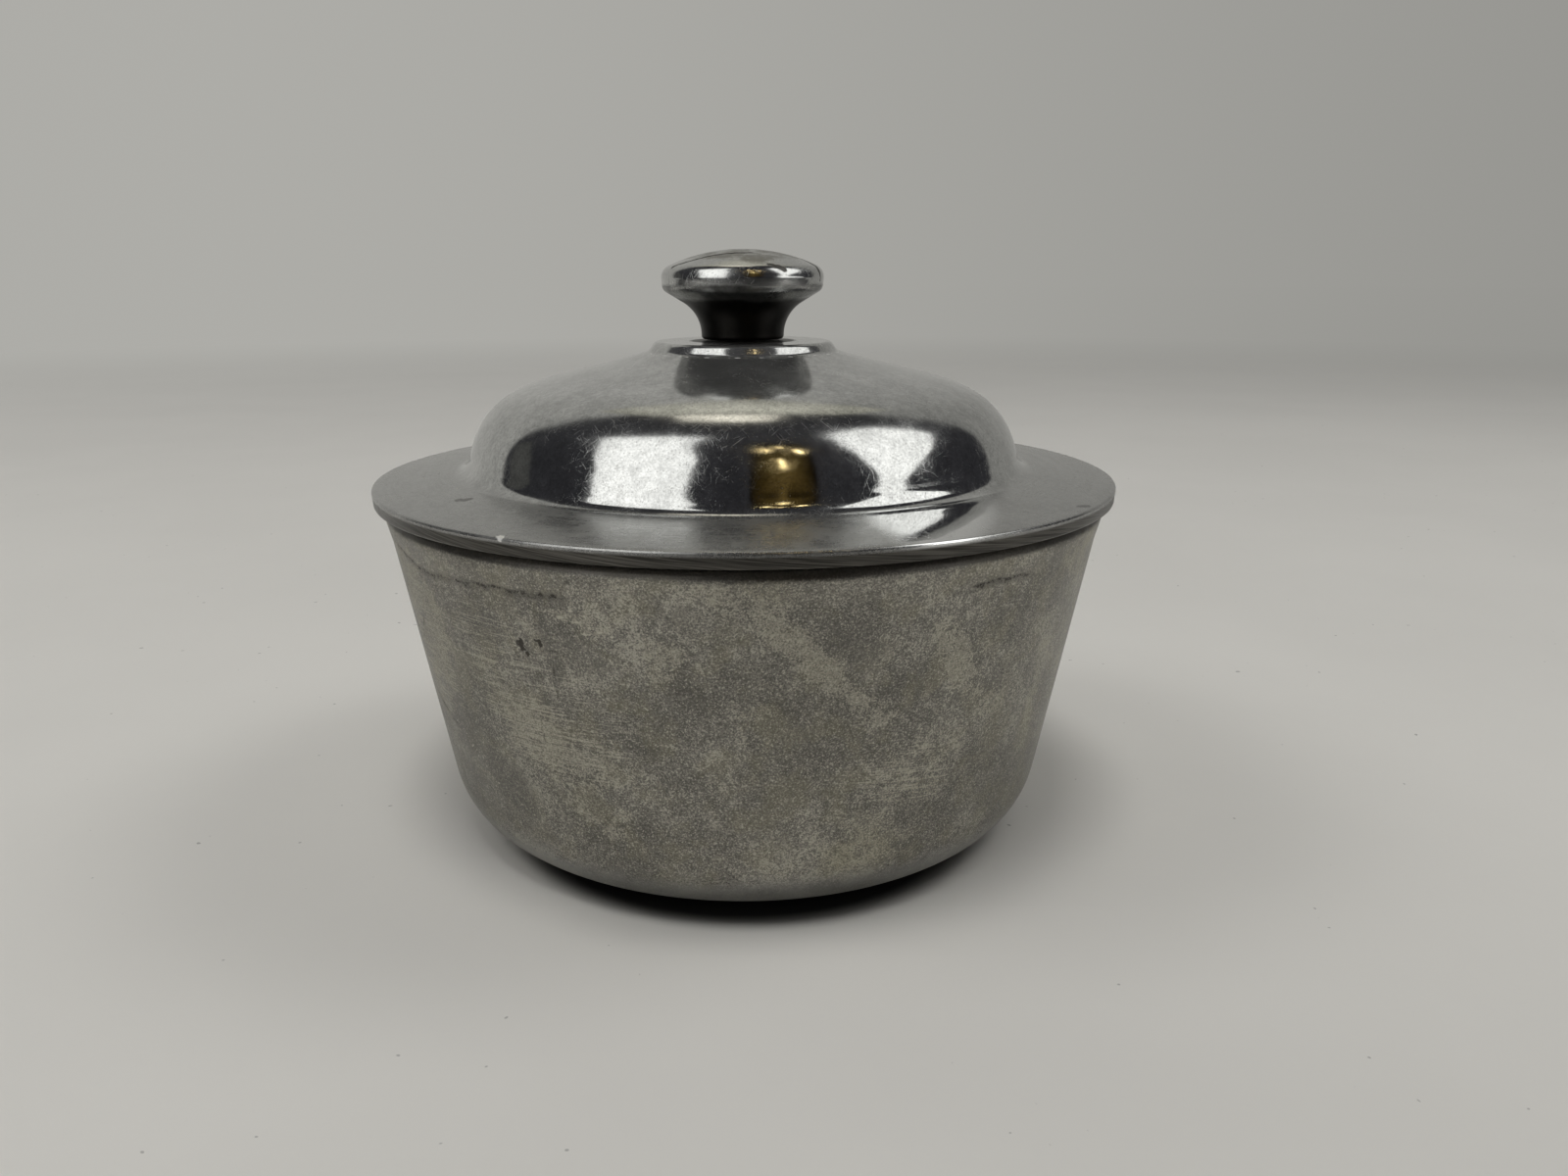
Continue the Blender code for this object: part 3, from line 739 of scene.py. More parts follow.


# Colours that no setting holds: the clean ring above the foot, the dull and the bright part of the
# flange, glints in scratches, chips, the painted highlight along the casting line, smudges on the crown, and
# the turned metal inside
FOOT_GREY = (0.36, 0.357, 0.34)
FLANGE_DULL = (0.24, 0.237, 0.228)
FLANGE_BRIGHT = (0.8, 0.805, 0.8)
GLINT = (0.8, 0.8, 0.8)
CHIP_METAL = (0.9, 0.89, 0.86)
SEAM_HIGHLIGHT = (0.8, 0.79, 0.76)
CROWN_SMUDGE = (0.24, 0.232, 0.21)
BOWL_GROOVE = (0.42, 0.41, 0.385)
LID_GROOVE = (0.40, 0.395, 0.37)
TURNED_METAL = (0.52, 0.51, 0.48)


class CastPatterns:
    """The patterns that the bowl's finish is mixed from. Those named fine, sand, blotch and cloud, from the
    smallest to the widest, lie round 0."""

    def __init__(self, nodes, place):
        self.nodes = nodes
        flat = nodes.mask("unrolled", "Vector")
        scratch = {"Length": 24 * MM, "Width": 0.9 * MM, "Depth": 0.06, "Spread": 0.45}
        self.marks = nodes.group(fine_scratches, Vector=flat, **scratch)["Scratches"]
        self.dashes = nodes.group(turning_lines, Vector=place, Fineness=4200.0, Run=150.0, Lean=0.12)["Lines"]
        self.lines = nodes.group(turning_lines, Vector=place, Fineness=5200.0, Run=60.0)["Lines"]
        self.speckle = nodes.group(casting_grain, Vector=place, Size=0.36 * MM, Cloud=14 * MM)
        self.mottle = nodes.group(casting_grain, Vector=place, Size=1.1 * MM, Cloud=3.2 * MM)["Cloud"]
        self.fine = nodes.centred(nodes.noise(place, 3600, 3, 0.7))
        self.sand = nodes.centred(nodes.noise(place, 1100, 5, 0.75))
        self.blotch = nodes.centred(self.mottle)
        self.cloud = nodes.centred(self.speckle["Cloud"])

    def mix(self, **weights):
        """The sum of the named patterns, each times its weight."""
        return self.nodes.total(0.0, *((getattr(self, name), weight) for name, weight in weights.items()))

    def area(self, mask, edges, low, high):
        """An area that the mesh carries, its limits made ragged by the pattern of the edges."""
        return self.nodes.ramp(self.nodes.math("ADD", self.nodes.mask(mask), edges), low, high)


def cast_wall(nodes, looks, place, finishes):
    """Colour of the wall before its cracks and stains, and its buff areas: cloudy grey with patches, rubbed
    dashes, speckle and scratches laid over it, and a cleaner ring above the foot."""
    pale, low_grey = dimmed(finishes.buff_patch, 1.35), dimmed(finishes.cast_grey, 0.5)
    streaked = nodes.times(nodes.centred(looks.dashes), nodes.mask("streak"))
    ragged = nodes.total(looks.mix(blotch=1.7, sand=1.8, cloud=0.5, fine=1.0), (streaked, 4.4))
    soft = looks.mix(blotch=1.5, sand=0.5, cloud=0.8)
    buff = looks.area("buff", ragged, 0.5, 0.85)
    rubbed = looks.area("streak", ragged, 0.2, 0.7)
    clean = looks.area("foot", looks.mix(blotch=0.8, cloud=0.8), 0.3, 1.3)
    yellowed = nodes.ramp(nodes.noise(place, 170, 4, 0.6), 0.46, 0.64)
    flecks = nodes.ramp(looks.mix(fine=1.6, sand=1.5, cloud=1.2, blotch=0.7), 0.12, 0.26)
    gaps = nodes.ramp(looks.mix(fine=1.0, sand=0.5), -0.02, -0.14)
    shade = nodes.ramp(looks.mix(blotch=0.8, sand=1.2, fine=3.2, cloud=1.4), -0.6, 0.6)
    tint = nodes.layered(
        nodes.blend(shade, low_grey, dimmed(finishes.cast_grey, 1.4)),
        (yellowed, finishes.warm_tint, 0.25),
        (flecks, pale, 0.45),
        (nodes.mask("band"), finishes.buff_patch, 0.1),
        # Dark patches: stains, and low on the left partly painted shade
        (looks.area("dark", soft, 0.45, 0.95), finishes.dark_patch, 0.58),
        (buff, finishes.buff_patch, 0.58),
        (nodes.times(buff, nodes.ramp(looks.fine, 0.0, 0.14)), pale, 0.5),
        (nodes.times(buff, gaps), low_grey, 0.55),
        (looks.area("warm", ragged, 0.4, 1.2), finishes.warm_tint, 0.3),
        (nodes.times(rubbed, nodes.ramp(looks.dashes, 0.56, 0.62)), pale, 0.4),
        (nodes.times(rubbed, nodes.ramp(looks.dashes, 0.42, 0.36)), finishes.dark_patch, 0.6),
        (nodes.ramp(looks.fine, 0.07, 0.17), pale, 0.75),
        (nodes.ramp(looks.fine, -0.06, -0.18), finishes.dark_patch, 0.45),
        (looks.speckle["Dark"], finishes.dark_patch, 0.2),
        (looks.marks, pale, 0.35),
        (clean, FOOT_GREY, 0.75),
    )
    return tint, buff


def dotted_crack(nodes, looks):
    """The crack under the rim band: a thin line with gaps in it, and crumbs beside it."""
    off = nodes.math("ABSOLUTE", nodes.total(nodes.mask("crack_off"), (looks.sand, 1.1), (looks.fine, 1.5)))
    gaps = nodes.ramp(looks.mix(sand=1.7, fine=0.6), -0.03, 0.05)
    line = nodes.times(nodes.ramp(off, 0.26, 0.16), gaps)
    loose = nodes.ramp(looks.mix(fine=1.0, sand=1.0), 0.06, 0.12)
    crumbs = nodes.times(nodes.ramp(off, 0.9, 0.3), loose)
    return nodes.times(nodes.most(line, crumbs), nodes.mask("crack"))


def cast_bowl_metal(finishes):
    """Dull aged casting: a cloudy, patched wall with stains, a crack under the rim band, pits and cuts,
    grime and painted shade on the rim under the lid's flange and at the very foot, and a plainer turned
    inside."""
    material, nodes, shader, place = new_metal("cast_bowl_metal")
    looks = CastPatterns(nodes, place)
    tint, buff = cast_wall(nodes, looks, place, finishes)
    pit = looks.area("pit", looks.mix(blotch=1.4, sand=1.4), 0.5, 0.65)
    deep = nodes.most(dotted_crack(nodes, looks), pit)
    cut = looks.area("cut", looks.mix(blotch=0.5, sand=0.8), 0.86, 0.95)
    tint = nodes.layered(
        tint,
        (looks.area("stain", looks.mix(blotch=1.2, sand=1.6), 0.78, 0.92), finishes.grime, 0.6),
        (deep, finishes.grime, 0.95),
        (cut, dimmed(finishes.buff_patch, 1.35), 0.75),
        # rim: grime and painted shade on the rim's top under the lid's flange
        (looks.area("rim", looks.mix(blotch=0.5, sand=0.4), 0.3, 0.8), finishes.grime, 0.85),
        # under: grime and painted contact shade on the last 0.3 mm above the floor
        (nodes.mask("under"), finishes.grime, 0.9),
    )
    turned = nodes.blend(nodes.ramp(looks.lines, 0.3, 0.7), BOWL_GROOVE, TURNED_METAL)
    low = nodes.mask("low")
    wear = ((buff, 0.1), (looks.blotch, 0.3), (looks.fine, 0.4), (nodes.mask("foot"), -0.13), (low, 0.45))
    relief = ((looks.mottle, 0.6), (nodes.most(looks.marks, cut), -0.4), (deep, -1.2))
    height = nodes.total(looks.mix(sand=1.4, fine=1.0, lines=0.35), *relief)
    nodes.fill(shader, {
        "Base Color": nodes.blend(nodes.mask("inside"), tint, turned),
        "Metallic": nodes.total(1.0, (low, -0.35)),
        "Roughness": nodes.total(0.4, *wear, clamp=True),
        "Normal": nodes.bump(height, 0.04 * MM, 0.8),
    })
    return material


def polished_metal(name, width, seed):
    """What the lid's and the knob's polish share: hairline scratches in two sizes, grain, haze and smears."""
    material, nodes, shader, place = new_metal(name)
    flat = nodes.mask("unrolled", "Vector")
    hairs = {"Length": 13 * MM, "Width": width, "Depth": 0.09, "Spread": 0.5, "Seed": seed}
    lines = {"Length": 60 * MM, "Width": 4 * width, "Depth": 0.03, "Spread": 0.55, "Seed": seed + 50}
    short, long = (nodes.group(fine_scratches, Vector=flat, **sizes)["Scratches"] for sizes in (hairs, lines))
    grain = nodes.group(casting_grain, Vector=place, Size=0.3 * MM, Cloud=6 * MM)
    winding = nodes.ramp(nodes.math("ABSOLUTE", nodes.centred(nodes.noise(place, 330, 4, 0.6))), 0.016, 0.004)
    worn = nodes.ramp(nodes.noise(place, 150, 2), 0.42, 0.62)
    looks = SimpleNamespace(
        place=place, grain=grain, marks=nodes.most(short, long), smear=nodes.times(winding, worn),
        haze=nodes.centred(grain["Cloud"]),
    )
    return material, nodes, shader, looks


def lid_areas(nodes, looks):
    """The lid's areas and marks: those that the mesh carries, some with ragged limits, and its ground and
    turned lines."""
    names = ("flange", "edge", "inside", "crown", "scuff", "shoulder", "joint", "bright")
    areas = SimpleNamespace(**{name: nodes.mask(name) for name in names})
    areas.dull = nodes.math("SUBTRACT", areas.flange, areas.bright)
    areas.ground = nodes.group(slanted_lines, Vector=looks.place)["Lines"]
    areas.turned = nodes.group(turning_lines, Vector=looks.place, Fineness=3000.0, Run=60.0)["Lines"]
    # Painted shade in the corners at the feet of the knob, the boss and the dome
    areas.dirt = nodes.ramp(nodes.total(nodes.mask("corner"), (looks.haze, 1.6)), 0.6, 1.1)
    areas.pit = nodes.ramp(nodes.total(nodes.mask("pit"), (looks.haze, 1.2)), 0.45, 0.6)
    areas.chip = nodes.ramp(nodes.total(nodes.mask("chip"), (looks.haze, 0.8)), 0.45, 0.6)
    # seam: the casting line round the boss's foot, which carries a painted highlight
    seam, broken = nodes.mask("seam"), nodes.centred(nodes.noise(looks.place, 1500, 3, 0.7))
    areas.seam = nodes.times(nodes.ramp(nodes.math("ADD", seam, broken), 0.62, 0.8), seam)
    return areas


def lid_tint(nodes, looks, areas, finishes):
    """The lid's colour: dusty polish, a dull and a bright part of the flange, its ground edge, painted shade
    in the corners at the foot of the knob, the boss and the dome and in the joint round the knob's foot, a
    painted highlight along the casting line, and a plain turned hollow."""
    dusty = nodes.math("ADD", nodes.noise(looks.place, 2600, 3, 0.7), nodes.noise(looks.place, 800, 4, 0.7))
    dusty = nodes.math("ADD", nodes.math("SUBTRACT", dusty, 1.0), looks.haze)
    polish = (dimmed(finishes.polish, part) for part in (0.7, 1.14))
    ground = (dimmed(finishes.ground_edge, part) for part in (0.45, 1.3))
    tint = nodes.layered(
        nodes.blend(nodes.ramp(dusty, -0.4, 0.4), *polish),
        (looks.grain["Dark"], finishes.ground_edge, 0.42),
        (looks.smear, finishes.ground_edge, 0.22),
        (looks.marks, GLINT, 0.16),
        (areas.dull, FLANGE_DULL, 0.55),
        (areas.bright, FLANGE_BRIGHT, 0.95),
    )
    tint = nodes.layered(
        nodes.blend(areas.edge, tint, nodes.blend(nodes.ramp(areas.ground, 0.34, 0.66), *ground)),
        # painted shade in the corners at the feet of the knob, the boss and the dome
        (areas.dirt, finishes.grime, 0.35),
        # painted shade in the joint round the knob's foot
        (areas.joint, finishes.grime, 0.9),
        (areas.pit, finishes.grime, 0.85),
        (areas.chip, CHIP_METAL, 1.0),
        # The casting line is painted near white and made mostly non-metallic: a painted highlight along the
        # real line
        (areas.seam, SEAM_HIGHLIGHT, 1.0),
    )
    return nodes.blend(areas.inside, tint, nodes.blend(areas.turned, LID_GROOVE, TURNED_METAL))


def lid_polish(finishes):
    """Worn polish: mirror-bright with hairline scratches on the dome, hazier on the flange, ground lines
    on its edge, painted shade in the corners, and a plain turned hollow."""
    material, nodes, shader, looks = polished_metal("lid_polish", 0.45 * MM, 0.0)
    areas = lid_areas(nodes, looks)
    # The seam's lower metallic share is part of its painted highlight
    film = ((areas.crown, 0.1), (areas.dull, 0.1), (areas.scuff, 0.03), (areas.seam, 0.6))
    wear = (
        (areas.bright, -0.04),
        (nodes.ramp(looks.haze, -0.02, 0.2), 0.06),
        (nodes.most(looks.grain["Bright"], looks.grain["Dark"]), 0.09),
        (looks.marks, 0.16),
        (areas.dull, nodes.ramp(areas.turned, 0.2, 0.8, 0.1, 0.17)),
        (areas.scuff, nodes.ramp(looks.haze, -0.2, 0.2, 0.02, 0.1)),
        (areas.shoulder, 0.1),
        (areas.joint, 0.3),
        (areas.crown, 0.04),
        (nodes.most(nodes.most(areas.edge, areas.inside), areas.chip), 0.2),
    )
    relief = (
        (nodes.times(areas.ground, areas.edge), 0.8), (nodes.times(areas.turned, areas.inside), 1.2),
        (looks.marks, -0.08), (areas.pit, -3.0),
    )
    waves = nodes.bump(nodes.noise(looks.place, 90, 1), 0.05 * MM)
    nodes.fill(shader, {
        "Base Color": lid_tint(nodes, looks, areas, finishes),
        "Metallic": nodes.math("SUBTRACT", 1.0, nodes.total(0.0, *film, clamp=True)),
        "Roughness": nodes.total(0.074, *wear, clamp=True),
        "Normal": nodes.bump(nodes.total(0.0, *relief), 0.015 * MM, Normal=waves),
    })
    return material


def knob_polish(finishes):
    """Polished knob: a bright round edge, a scuffed crown with dark curved scores, and a neck black with
    tarnish, with painted shade on the cap's underside and, at half strength, on its lower rounding."""
    material, nodes, shader, looks = polished_metal("knob_polish", 0.4 * MM, 20.0)
    crown = nodes.mask("crown")
    wander = nodes.centred(nodes.noise(looks.place, 700, 3))
    score = nodes.ramp(nodes.total(nodes.mask("score"), (wander, 0.9)), 0.56, 0.74)
    # black: the neck's tarnish, and painted shade on the cap's underside and lower rounding
    black = nodes.ramp(nodes.total(nodes.mask("neck"), (looks.haze, 0.9)), 0.05, 0.85)
    smudge = nodes.ramp(nodes.noise(looks.place, 420, 4, 0.65), 0.38, 0.6, 0.1, 1.0)
    tint = nodes.layered(
        nodes.blend(nodes.ramp(looks.haze, -0.2, 0.2), dimmed(finishes.polish, 0.9), finishes.polish),
        (crown, CROWN_SMUDGE, smudge),
        (nodes.most(looks.smear, looks.grain["Dark"]), finishes.ground_edge, 0.4),
        (looks.marks, GLINT, 0.2),
    )
    film = nodes.blend(looks.grain["Cloud"], *(dimmed(finishes.tarnish, part) for part in (0.6, 1.6)))
    wear = (
        (nodes.ramp(looks.haze, 0.0, 0.2), 0.06), (looks.grain["Bright"], 0.08), (looks.marks, 0.16),
        (black, 0.25), (crown, 0.14), (score, 0.35),
    )
    nodes.fill(shader, {
        "Base Color": nodes.layered(nodes.blend(black, tint, film), (score, finishes.grime, 0.85)),
        "Roughness": nodes.total(0.155, *wear, clamp=True),
        "Normal": nodes.bump(nodes.total(0.0, (looks.marks, -0.2), (score, -1.5)), 0.025 * MM),
    })
    return material


def plated_steel(finishes):
    """Plain plated steel of the screw: faint turning lines, haze and dirt in the thread and the slot."""
    material, nodes, shader, place = new_metal("screw_steel")
    lines = nodes.group(turning_lines, Vector=place, Fineness=9000.0, Run=300.0)["Lines"]
    cloud = nodes.group(casting_grain, Vector=place, Size=0.15 * MM, Cloud=2 * MM)["Cloud"]
    tint = nodes.blend(nodes.ramp(lines, 0.3, 0.7), dimmed(finishes.steel, 0.8), finishes.steel)
    dirt = nodes.times(nodes.mask("hollow"), nodes.ramp(cloud, 0.35, 0.6))
    nodes.fill(shader, {
        "Base Color": nodes.layered(tint, (dirt, finishes.grime, 0.7)),
        "Roughness": nodes.total(0.28, (cloud, 0.2)),
        "Normal": nodes.bump(lines, 0.01 * MM),
    })
    return material


# Outlines of the pieces


def bowl_outline(sizes):
    """Foot, soft corner, drafted wall, flared band, rim, and the inside at the wall's thickness, and
    which of its points belong to the inside."""
    slope = math.tan(sizes.draft)

    def wall_radius(height):
        return sizes.rim_radius - sizes.band_flare - (sizes.height - height) * slope

    corner = point(wall_radius(sizes.corner_height), sizes.corner_height)
    foot = corner - point(sizes.corner_width, sizes.corner_height)
    side_handle = corner - point(slope, 1) * sizes.corner_height * sizes.side_fullness
    base_handle = foot + point(sizes.corner_width * sizes.base_fullness, 0)
    outside = cubic(foot, base_handle, side_handle, corner, 40)
    inside = beside(outside, sizes.floor, sizes.wall)
    band_foot = point(wall_radius(sizes.height - sizes.band_height), sizes.height - sizes.band_height)
    rim = point(sizes.rim_radius, sizes.height)
    mouth = point(wall_radius(sizes.height) - sizes.wall / math.cos(sizes.draft), sizes.height)
    outer = np.vstack([outside, band_foot, corner_arc(band_foot, rim, mouth, sizes.outer_round)])
    inner = np.vstack([corner_arc(rim, mouth, inside[-1:], sizes.inner_round), inside[::-1]])
    outer = np.vstack([straight(point(0, 0), foot, 6), even(outer, 0.56 * MM)])
    middle = point(0, inside[0, 1])
    inner = np.vstack([even(inner, 2.2 * MM), straight(inside[:1], middle, 6)[1:], middle])
    return np.vstack([outer, inner]), np.repeat([0.0, 1.0], [len(outer), len(inner)])


def dome_curve(sizes):
    """The dome's outer line from its foot fillet up to the boss, above the flange's underside."""
    corner = point(sizes.dome_radius, sizes.flange_thickness)
    side = point(-math.cos(sizes.side_angle), math.sin(sizes.side_angle))
    start = corner + side * sizes.dome_foot_round * math.tan(sizes.side_angle / 2)
    end = point(sizes.boss_radius + sizes.boss_taper, sizes.flange_thickness + sizes.dome_rise)
    rise, run = end[0, 1] - start[0, 1], start[0, 0] - end[0, 0]
    reach = rise * sizes.side_fullness
    crown = run * sizes.crown_fullness
    start_handle = start + point(-reach / math.tan(sizes.side_angle), reach)
    end_handle = end + point(crown, -crown * math.tan(sizes.crown_angle))
    return corner, cubic(start, start_handle, end_handle, end, 96)


def lid_outline(sizes):
    """The lid's closed outline from the screw hole over the dome and the flange and back through the
    hollow, and how many points lie on each stretch of it."""
    foot_corner, dome = dome_curve(sizes)
    top = sizes.flange_thickness + sizes.dome_rise + sizes.boss_height
    pad_height = top - sizes.boss_thickness
    hole_top = point(sizes.hole_radius, top)
    boss_edge = point(sizes.boss_radius, top)
    boss_foot = dome[-1:]
    down = dome[::-1]
    fillet = corner_arc(boss_edge, boss_foot, down[4:5], sizes.boss_foot_round)
    down = down[np.linalg.norm(down - boss_foot, axis=1) > np.linalg.norm(fillet[-1:] - boss_foot)]
    edge_top = point(sizes.flange_radius, sizes.flange_thickness)
    edge_bottom = point(sizes.flange_radius - sizes.edge_taper, 0)
    ring = point(sizes.ring_radius, 0)
    ring_inner = point(sizes.ring_radius - sizes.ring_thickness, 0)
    drop = point(0, -sizes.ring_depth)
    hollow = beside(dome, sizes.dome_wall, sizes.dome_wall)[::3]
    mouth = point(hollow[0, 0], 0)
    pad_edge, pad_hole = point(sizes.pad_radius, pad_height), point(sizes.hole_radius, pad_height)
    boss = np.vstack([hole_top, corner_arc(hole_top, boss_edge, boss_foot, sizes.boss_edge_round), fillet])
    rise = (sizes.flange_radius - sizes.dome_radius) * math.tan(sizes.flange_slope)
    foot_corner = foot_corner + point(-rise / math.tan(sizes.side_angle), rise)
    foot_fillet = corner_arc(down[-6:-5], foot_corner, edge_top, sizes.dome_foot_round, 16)
    down = down[down[:, 1] > foot_fillet[0, 1] + 0.1 * MM]
    steep = np.vstack([down, foot_fillet])
    flat = corner_arc(foot_corner, edge_top, edge_bottom, sizes.edge_top_round, 6)
    band = corner_arc(edge_top, edge_bottom, ring, sizes.edge_bottom_round, 6)
    under = np.vstack([
        ring,
        corner_arc(ring, ring + drop, ring_inner + drop, sizes.ring_round, 5),
        corner_arc(ring + drop, ring_inner + drop, ring_inner, sizes.ring_round, 5),
        ring_inner,
        corner_arc(ring_inner, mouth, hollow[:1], sizes.hollow_round, 5),
        hollow, pad_edge, pad_hole,
    ])
    stretches = [
        even(np.vstack([boss, down[:1]]), 0.9 * MM)[:-1], steep,
        even(np.vstack([steep[-1:], flat]), 0.9 * MM)[1:],
        even(np.vstack([flat[-1:], band]), 0.5 * MM)[1:],
        even(np.vstack([under, hole_top]), 2.0 * MM)[:-1],
    ]
    outline = np.vstack(stretches)
    outline[:, 1] += sizes.seat_height
    return outline, [len(stretch) for stretch in stretches]


def knob_outline(sizes):
    """Crown, round edge, sloping underside, hollow-curved neck, foot and tapped hole."""
    cap_radius = sizes.neck_radius + sizes.cap_overhang
    under_top = sizes.neck_height + sizes.cap_overhang * math.tan(sizes.cap_slope)
    edge_top = under_top + sizes.cap_edge
    height = edge_top + sizes.crown_rise
    ball = (cap_radius**2 + sizes.crown_rise**2) / (2 * sizes.crown_rise)
    reach = np.linspace(0, 0.8 * cap_radius, 30)
    crown = np.stack([reach, height - ball + np.sqrt(ball**2 - reach**2)], axis=1)
    upper = point(cap_radius, edge_top)
    lower = point(cap_radius - sizes.cap_edge * math.tan(sizes.cap_lean), under_top)
    widest = corner_arc(crown[-1:], upper, lower, sizes.cap_top_round, 18)[:, 0].max()
    upper, lower = upper + point(cap_radius - widest, 0), lower + point(cap_radius - widest, 0)
    neck, foot = point(sizes.neck_radius, sizes.neck_height), point(sizes.neck_radius, 0)
    hole = sizes.neck_radius * 0.38
    bottom = point(hole, 0)
    outline = np.vstack([
        crown,
        corner_arc(crown[-1:], upper, lower, sizes.cap_top_round, 18),
        corner_arc(upper, lower, neck, sizes.cap_lower_round, 10),
        corner_arc(lower, neck, foot, sizes.neck_round, 20),
        corner_arc(neck, foot, bottom, sizes.foot_round, 6),
        bottom, point(hole, sizes.hole_depth), point(0, sizes.hole_depth + hole * 0.6),
    ])
    outline = even(outline, 0.45 * MM)
    return outline + point(0, sizes.base_height)


def screw_grid(sizes):
    """The screw as one surface. The shank's radius is the thread's outer radius less its depth times a
    rounded triangle wave of height / pitch - angle / turn, faded out at both ends; the head is part of a
    ball, and its points inside the slot's width are lifted to the slot's floor."""
    shank = sizes.tip_height - sizes.seat_height
    rise = sizes.head_height - sizes.head_edge
    ball = (sizes.head_radius**2 + rise**2) / (2 * rise)
    reach = np.linspace(0, sizes.head_radius, 36)
    dome = np.stack([reach, ball - np.sqrt(ball**2 - reach**2) - sizes.head_height], axis=1)
    levels = np.arange(0.05 * MM, shank, 0.09 * MM)
    rod = np.stack([np.full(len(levels), sizes.radius), levels], axis=1)
    outline = np.vstack([
        dome, point(sizes.head_radius, 0), point(sizes.radius, 0), rod,
        point(sizes.radius - sizes.thread_depth, shank), point(0, shank),
    ])
    grid, angles = turned_grid(outline, SCREW_COLUMNS)
    radius, height = np.hypot(grid[..., 0], grid[..., 1]), grid[..., 2].copy()
    on_rod = np.zeros(len(outline), bool)
    on_rod[len(dome) + 2:len(dome) + 2 + len(levels)] = True
    wave = np.abs(((height / sizes.pitch - angles / (2 * math.pi)) % 1) * 2 - 1)
    fade = np.clip(height / (0.6 * MM), 0, 1) * np.clip(wave * 1.35 - 0.1, 0, 1)
    tip = np.clip((shank - height) / (0.6 * MM), 0, 1)
    cut = np.where(on_rod[:, None], np.maximum(fade, 1 - tip) * sizes.thread_depth, 0)
    shrink = np.where(radius > 0, (radius - cut) / np.maximum(radius, 1e-9), 1)
    grid[..., :2] *= shrink[..., None]
    on_head = np.arange(len(outline)) < len(dome)
    slot = on_head[:, None] & (np.abs(grid[..., 1]) < sizes.slot_width / 2)
    grid[..., 2] = np.where(slot, np.maximum(height, -sizes.slot_floor), height) + sizes.seat_height
    return outline, grid, angles, np.where(slot, 1.0, cut / sizes.thread_depth)


# The stage: camera, floor, world, panels of light and softboxes

# Panels that only the polish sees: corners as (angle, angle above level) in degrees, the light in the
# middle, the share of it at the rim, and the distance in metres
SHINE_PANELS = {
    "left_window": (
        ((-96, 54), (-89, 65), (-62, 80), (-40, 66), (-24, 50), (-23, 26), (-23, 3), (-42, 2), (-61, 2),
         (-61, 9), (-65, 28)),
        (1.76, 1.76, 1.72), 0.85, 2.4,
    ),
    "right_window": (
        ((93, 69), (104, 66), (116, 61), (114, 48), (111, 39), (96, 32), (79, 25), (67, 17), (58, 25),
         (58, 40), (65, 58), (75, 65)),
        (1.62, 1.62, 1.58), 1.0, 2.4,
    ),
    "right_window_foot": (
        ((67, 17.5), (63, 12), (68, 5), (92, 4), (92, 1), (54, 0.3), (49, 8), (55, 16), (58, 25.5)),
        (1.6, 1.6, 1.56), 1.0, 2.4,
    ),
    "gold_lamp": (((8, 73), (46, 67), (31, 29), (29, 8), (2, 8), (3, 36)), (0.115, 0.075, 0.02), 0.0, 2.4),
    "gold_spot_left": (((13.5, 65), (16.5, 65), (16, 60), (13, 60)), (17.0, 13.0, 6.5), 0.1, 2.1),
    "gold_spot_right": (((32, 62), (35, 61.5), (35, 55), (32, 55.5)), (16.0, 12.3, 6.2), 0.1, 2.1),
    "gold_spot_middle": (((24, 67), (27, 67), (27, 64), (24, 64)), (12.0, 9.2, 4.6), 0.1, 2.1),
    "gold_star": (((18.5, 52), (20, 52), (19, 39), (17.5, 39)), (14.0, 10.8, 5.2), 0.1, 2.1),
    "gold_stem": (((16.5, 38), (18.5, 38), (16, 8), (13.5, 8)), (0.3, 0.2, 0.06), 0.3, 2.1),
    "ceiling_strip": (
        ((-158, 58), (-176, 59), (168, 60), (163, 71), (-171, 73), (-150, 68)), (1.8, 1.7, 1.45), 0.45, 2.4,
    ),
    "ceiling_glow": (
        ((-150, 44), (180, 41), (150, 44), (152, 56), (180, 60), (-152, 56)), (0.8, 0.78, 0.66), 0.52, 2.5,
    ),
    "doorway": (((-115, 22), (-112, 29), (-100, 20), (-92, 4), (-105, 3)), (0.09, 0.09, 0.085), 0.8, 2.4),
}
PANEL_CENTRE = [0, 0, 65 * MM]
# Soft area lights that the polish doesn't see: (angle, angle above level) in degrees, size in metres, watts
SOFTBOXES = {
    "top_softbox": ((-12, 77), 0.42, 7.3),
    "left_softbox": ((-78, 53), 0.6, 4.1),
    "right_softbox": ((96, 53), 0.6, 4.6),
    "back_softbox": ((-125, 26), 0.6, 1.8),
    "front_softbox": ((8, 62), 0.6, 1.5),
}
SOFTBOX_DISTANCE = 1.6
SOFTBOX_TINT = (1.0, 0.99, 0.965)
FLOOR_COLUMNS = 96
FLOOR_LEVEL = -0.05 * MM
SPECK = (0.2, 0.2, 0.19)
PAINTED_CONTACT_SHADOW = (0.004, 0.004, 0.004)
PAST_TABLE = (0.03, 0.03, 0.032)
# Where an effect on the floor starts and ends, in metres: the painted contact shadow by its radius, the
# backdrop's light by the distance from the origin, and the board's light by y
PAINTED_SHADOW_EDGE = (37.2 * MM, 42.8 * MM)
FAR_FLOOR = (0.4, 1.6)
BOARD_FOOT = (0.16, 0.19)


def direction(turn, climb):
    """Directions from an angle round the axis and an angle above level, in degrees."""
    turn, climb = np.radians(turn), np.radians(climb)
    return np.stack([np.sin(turn) * np.cos(climb), -np.cos(turn) * np.cos(climb), np.sin(climb)], axis=-1)


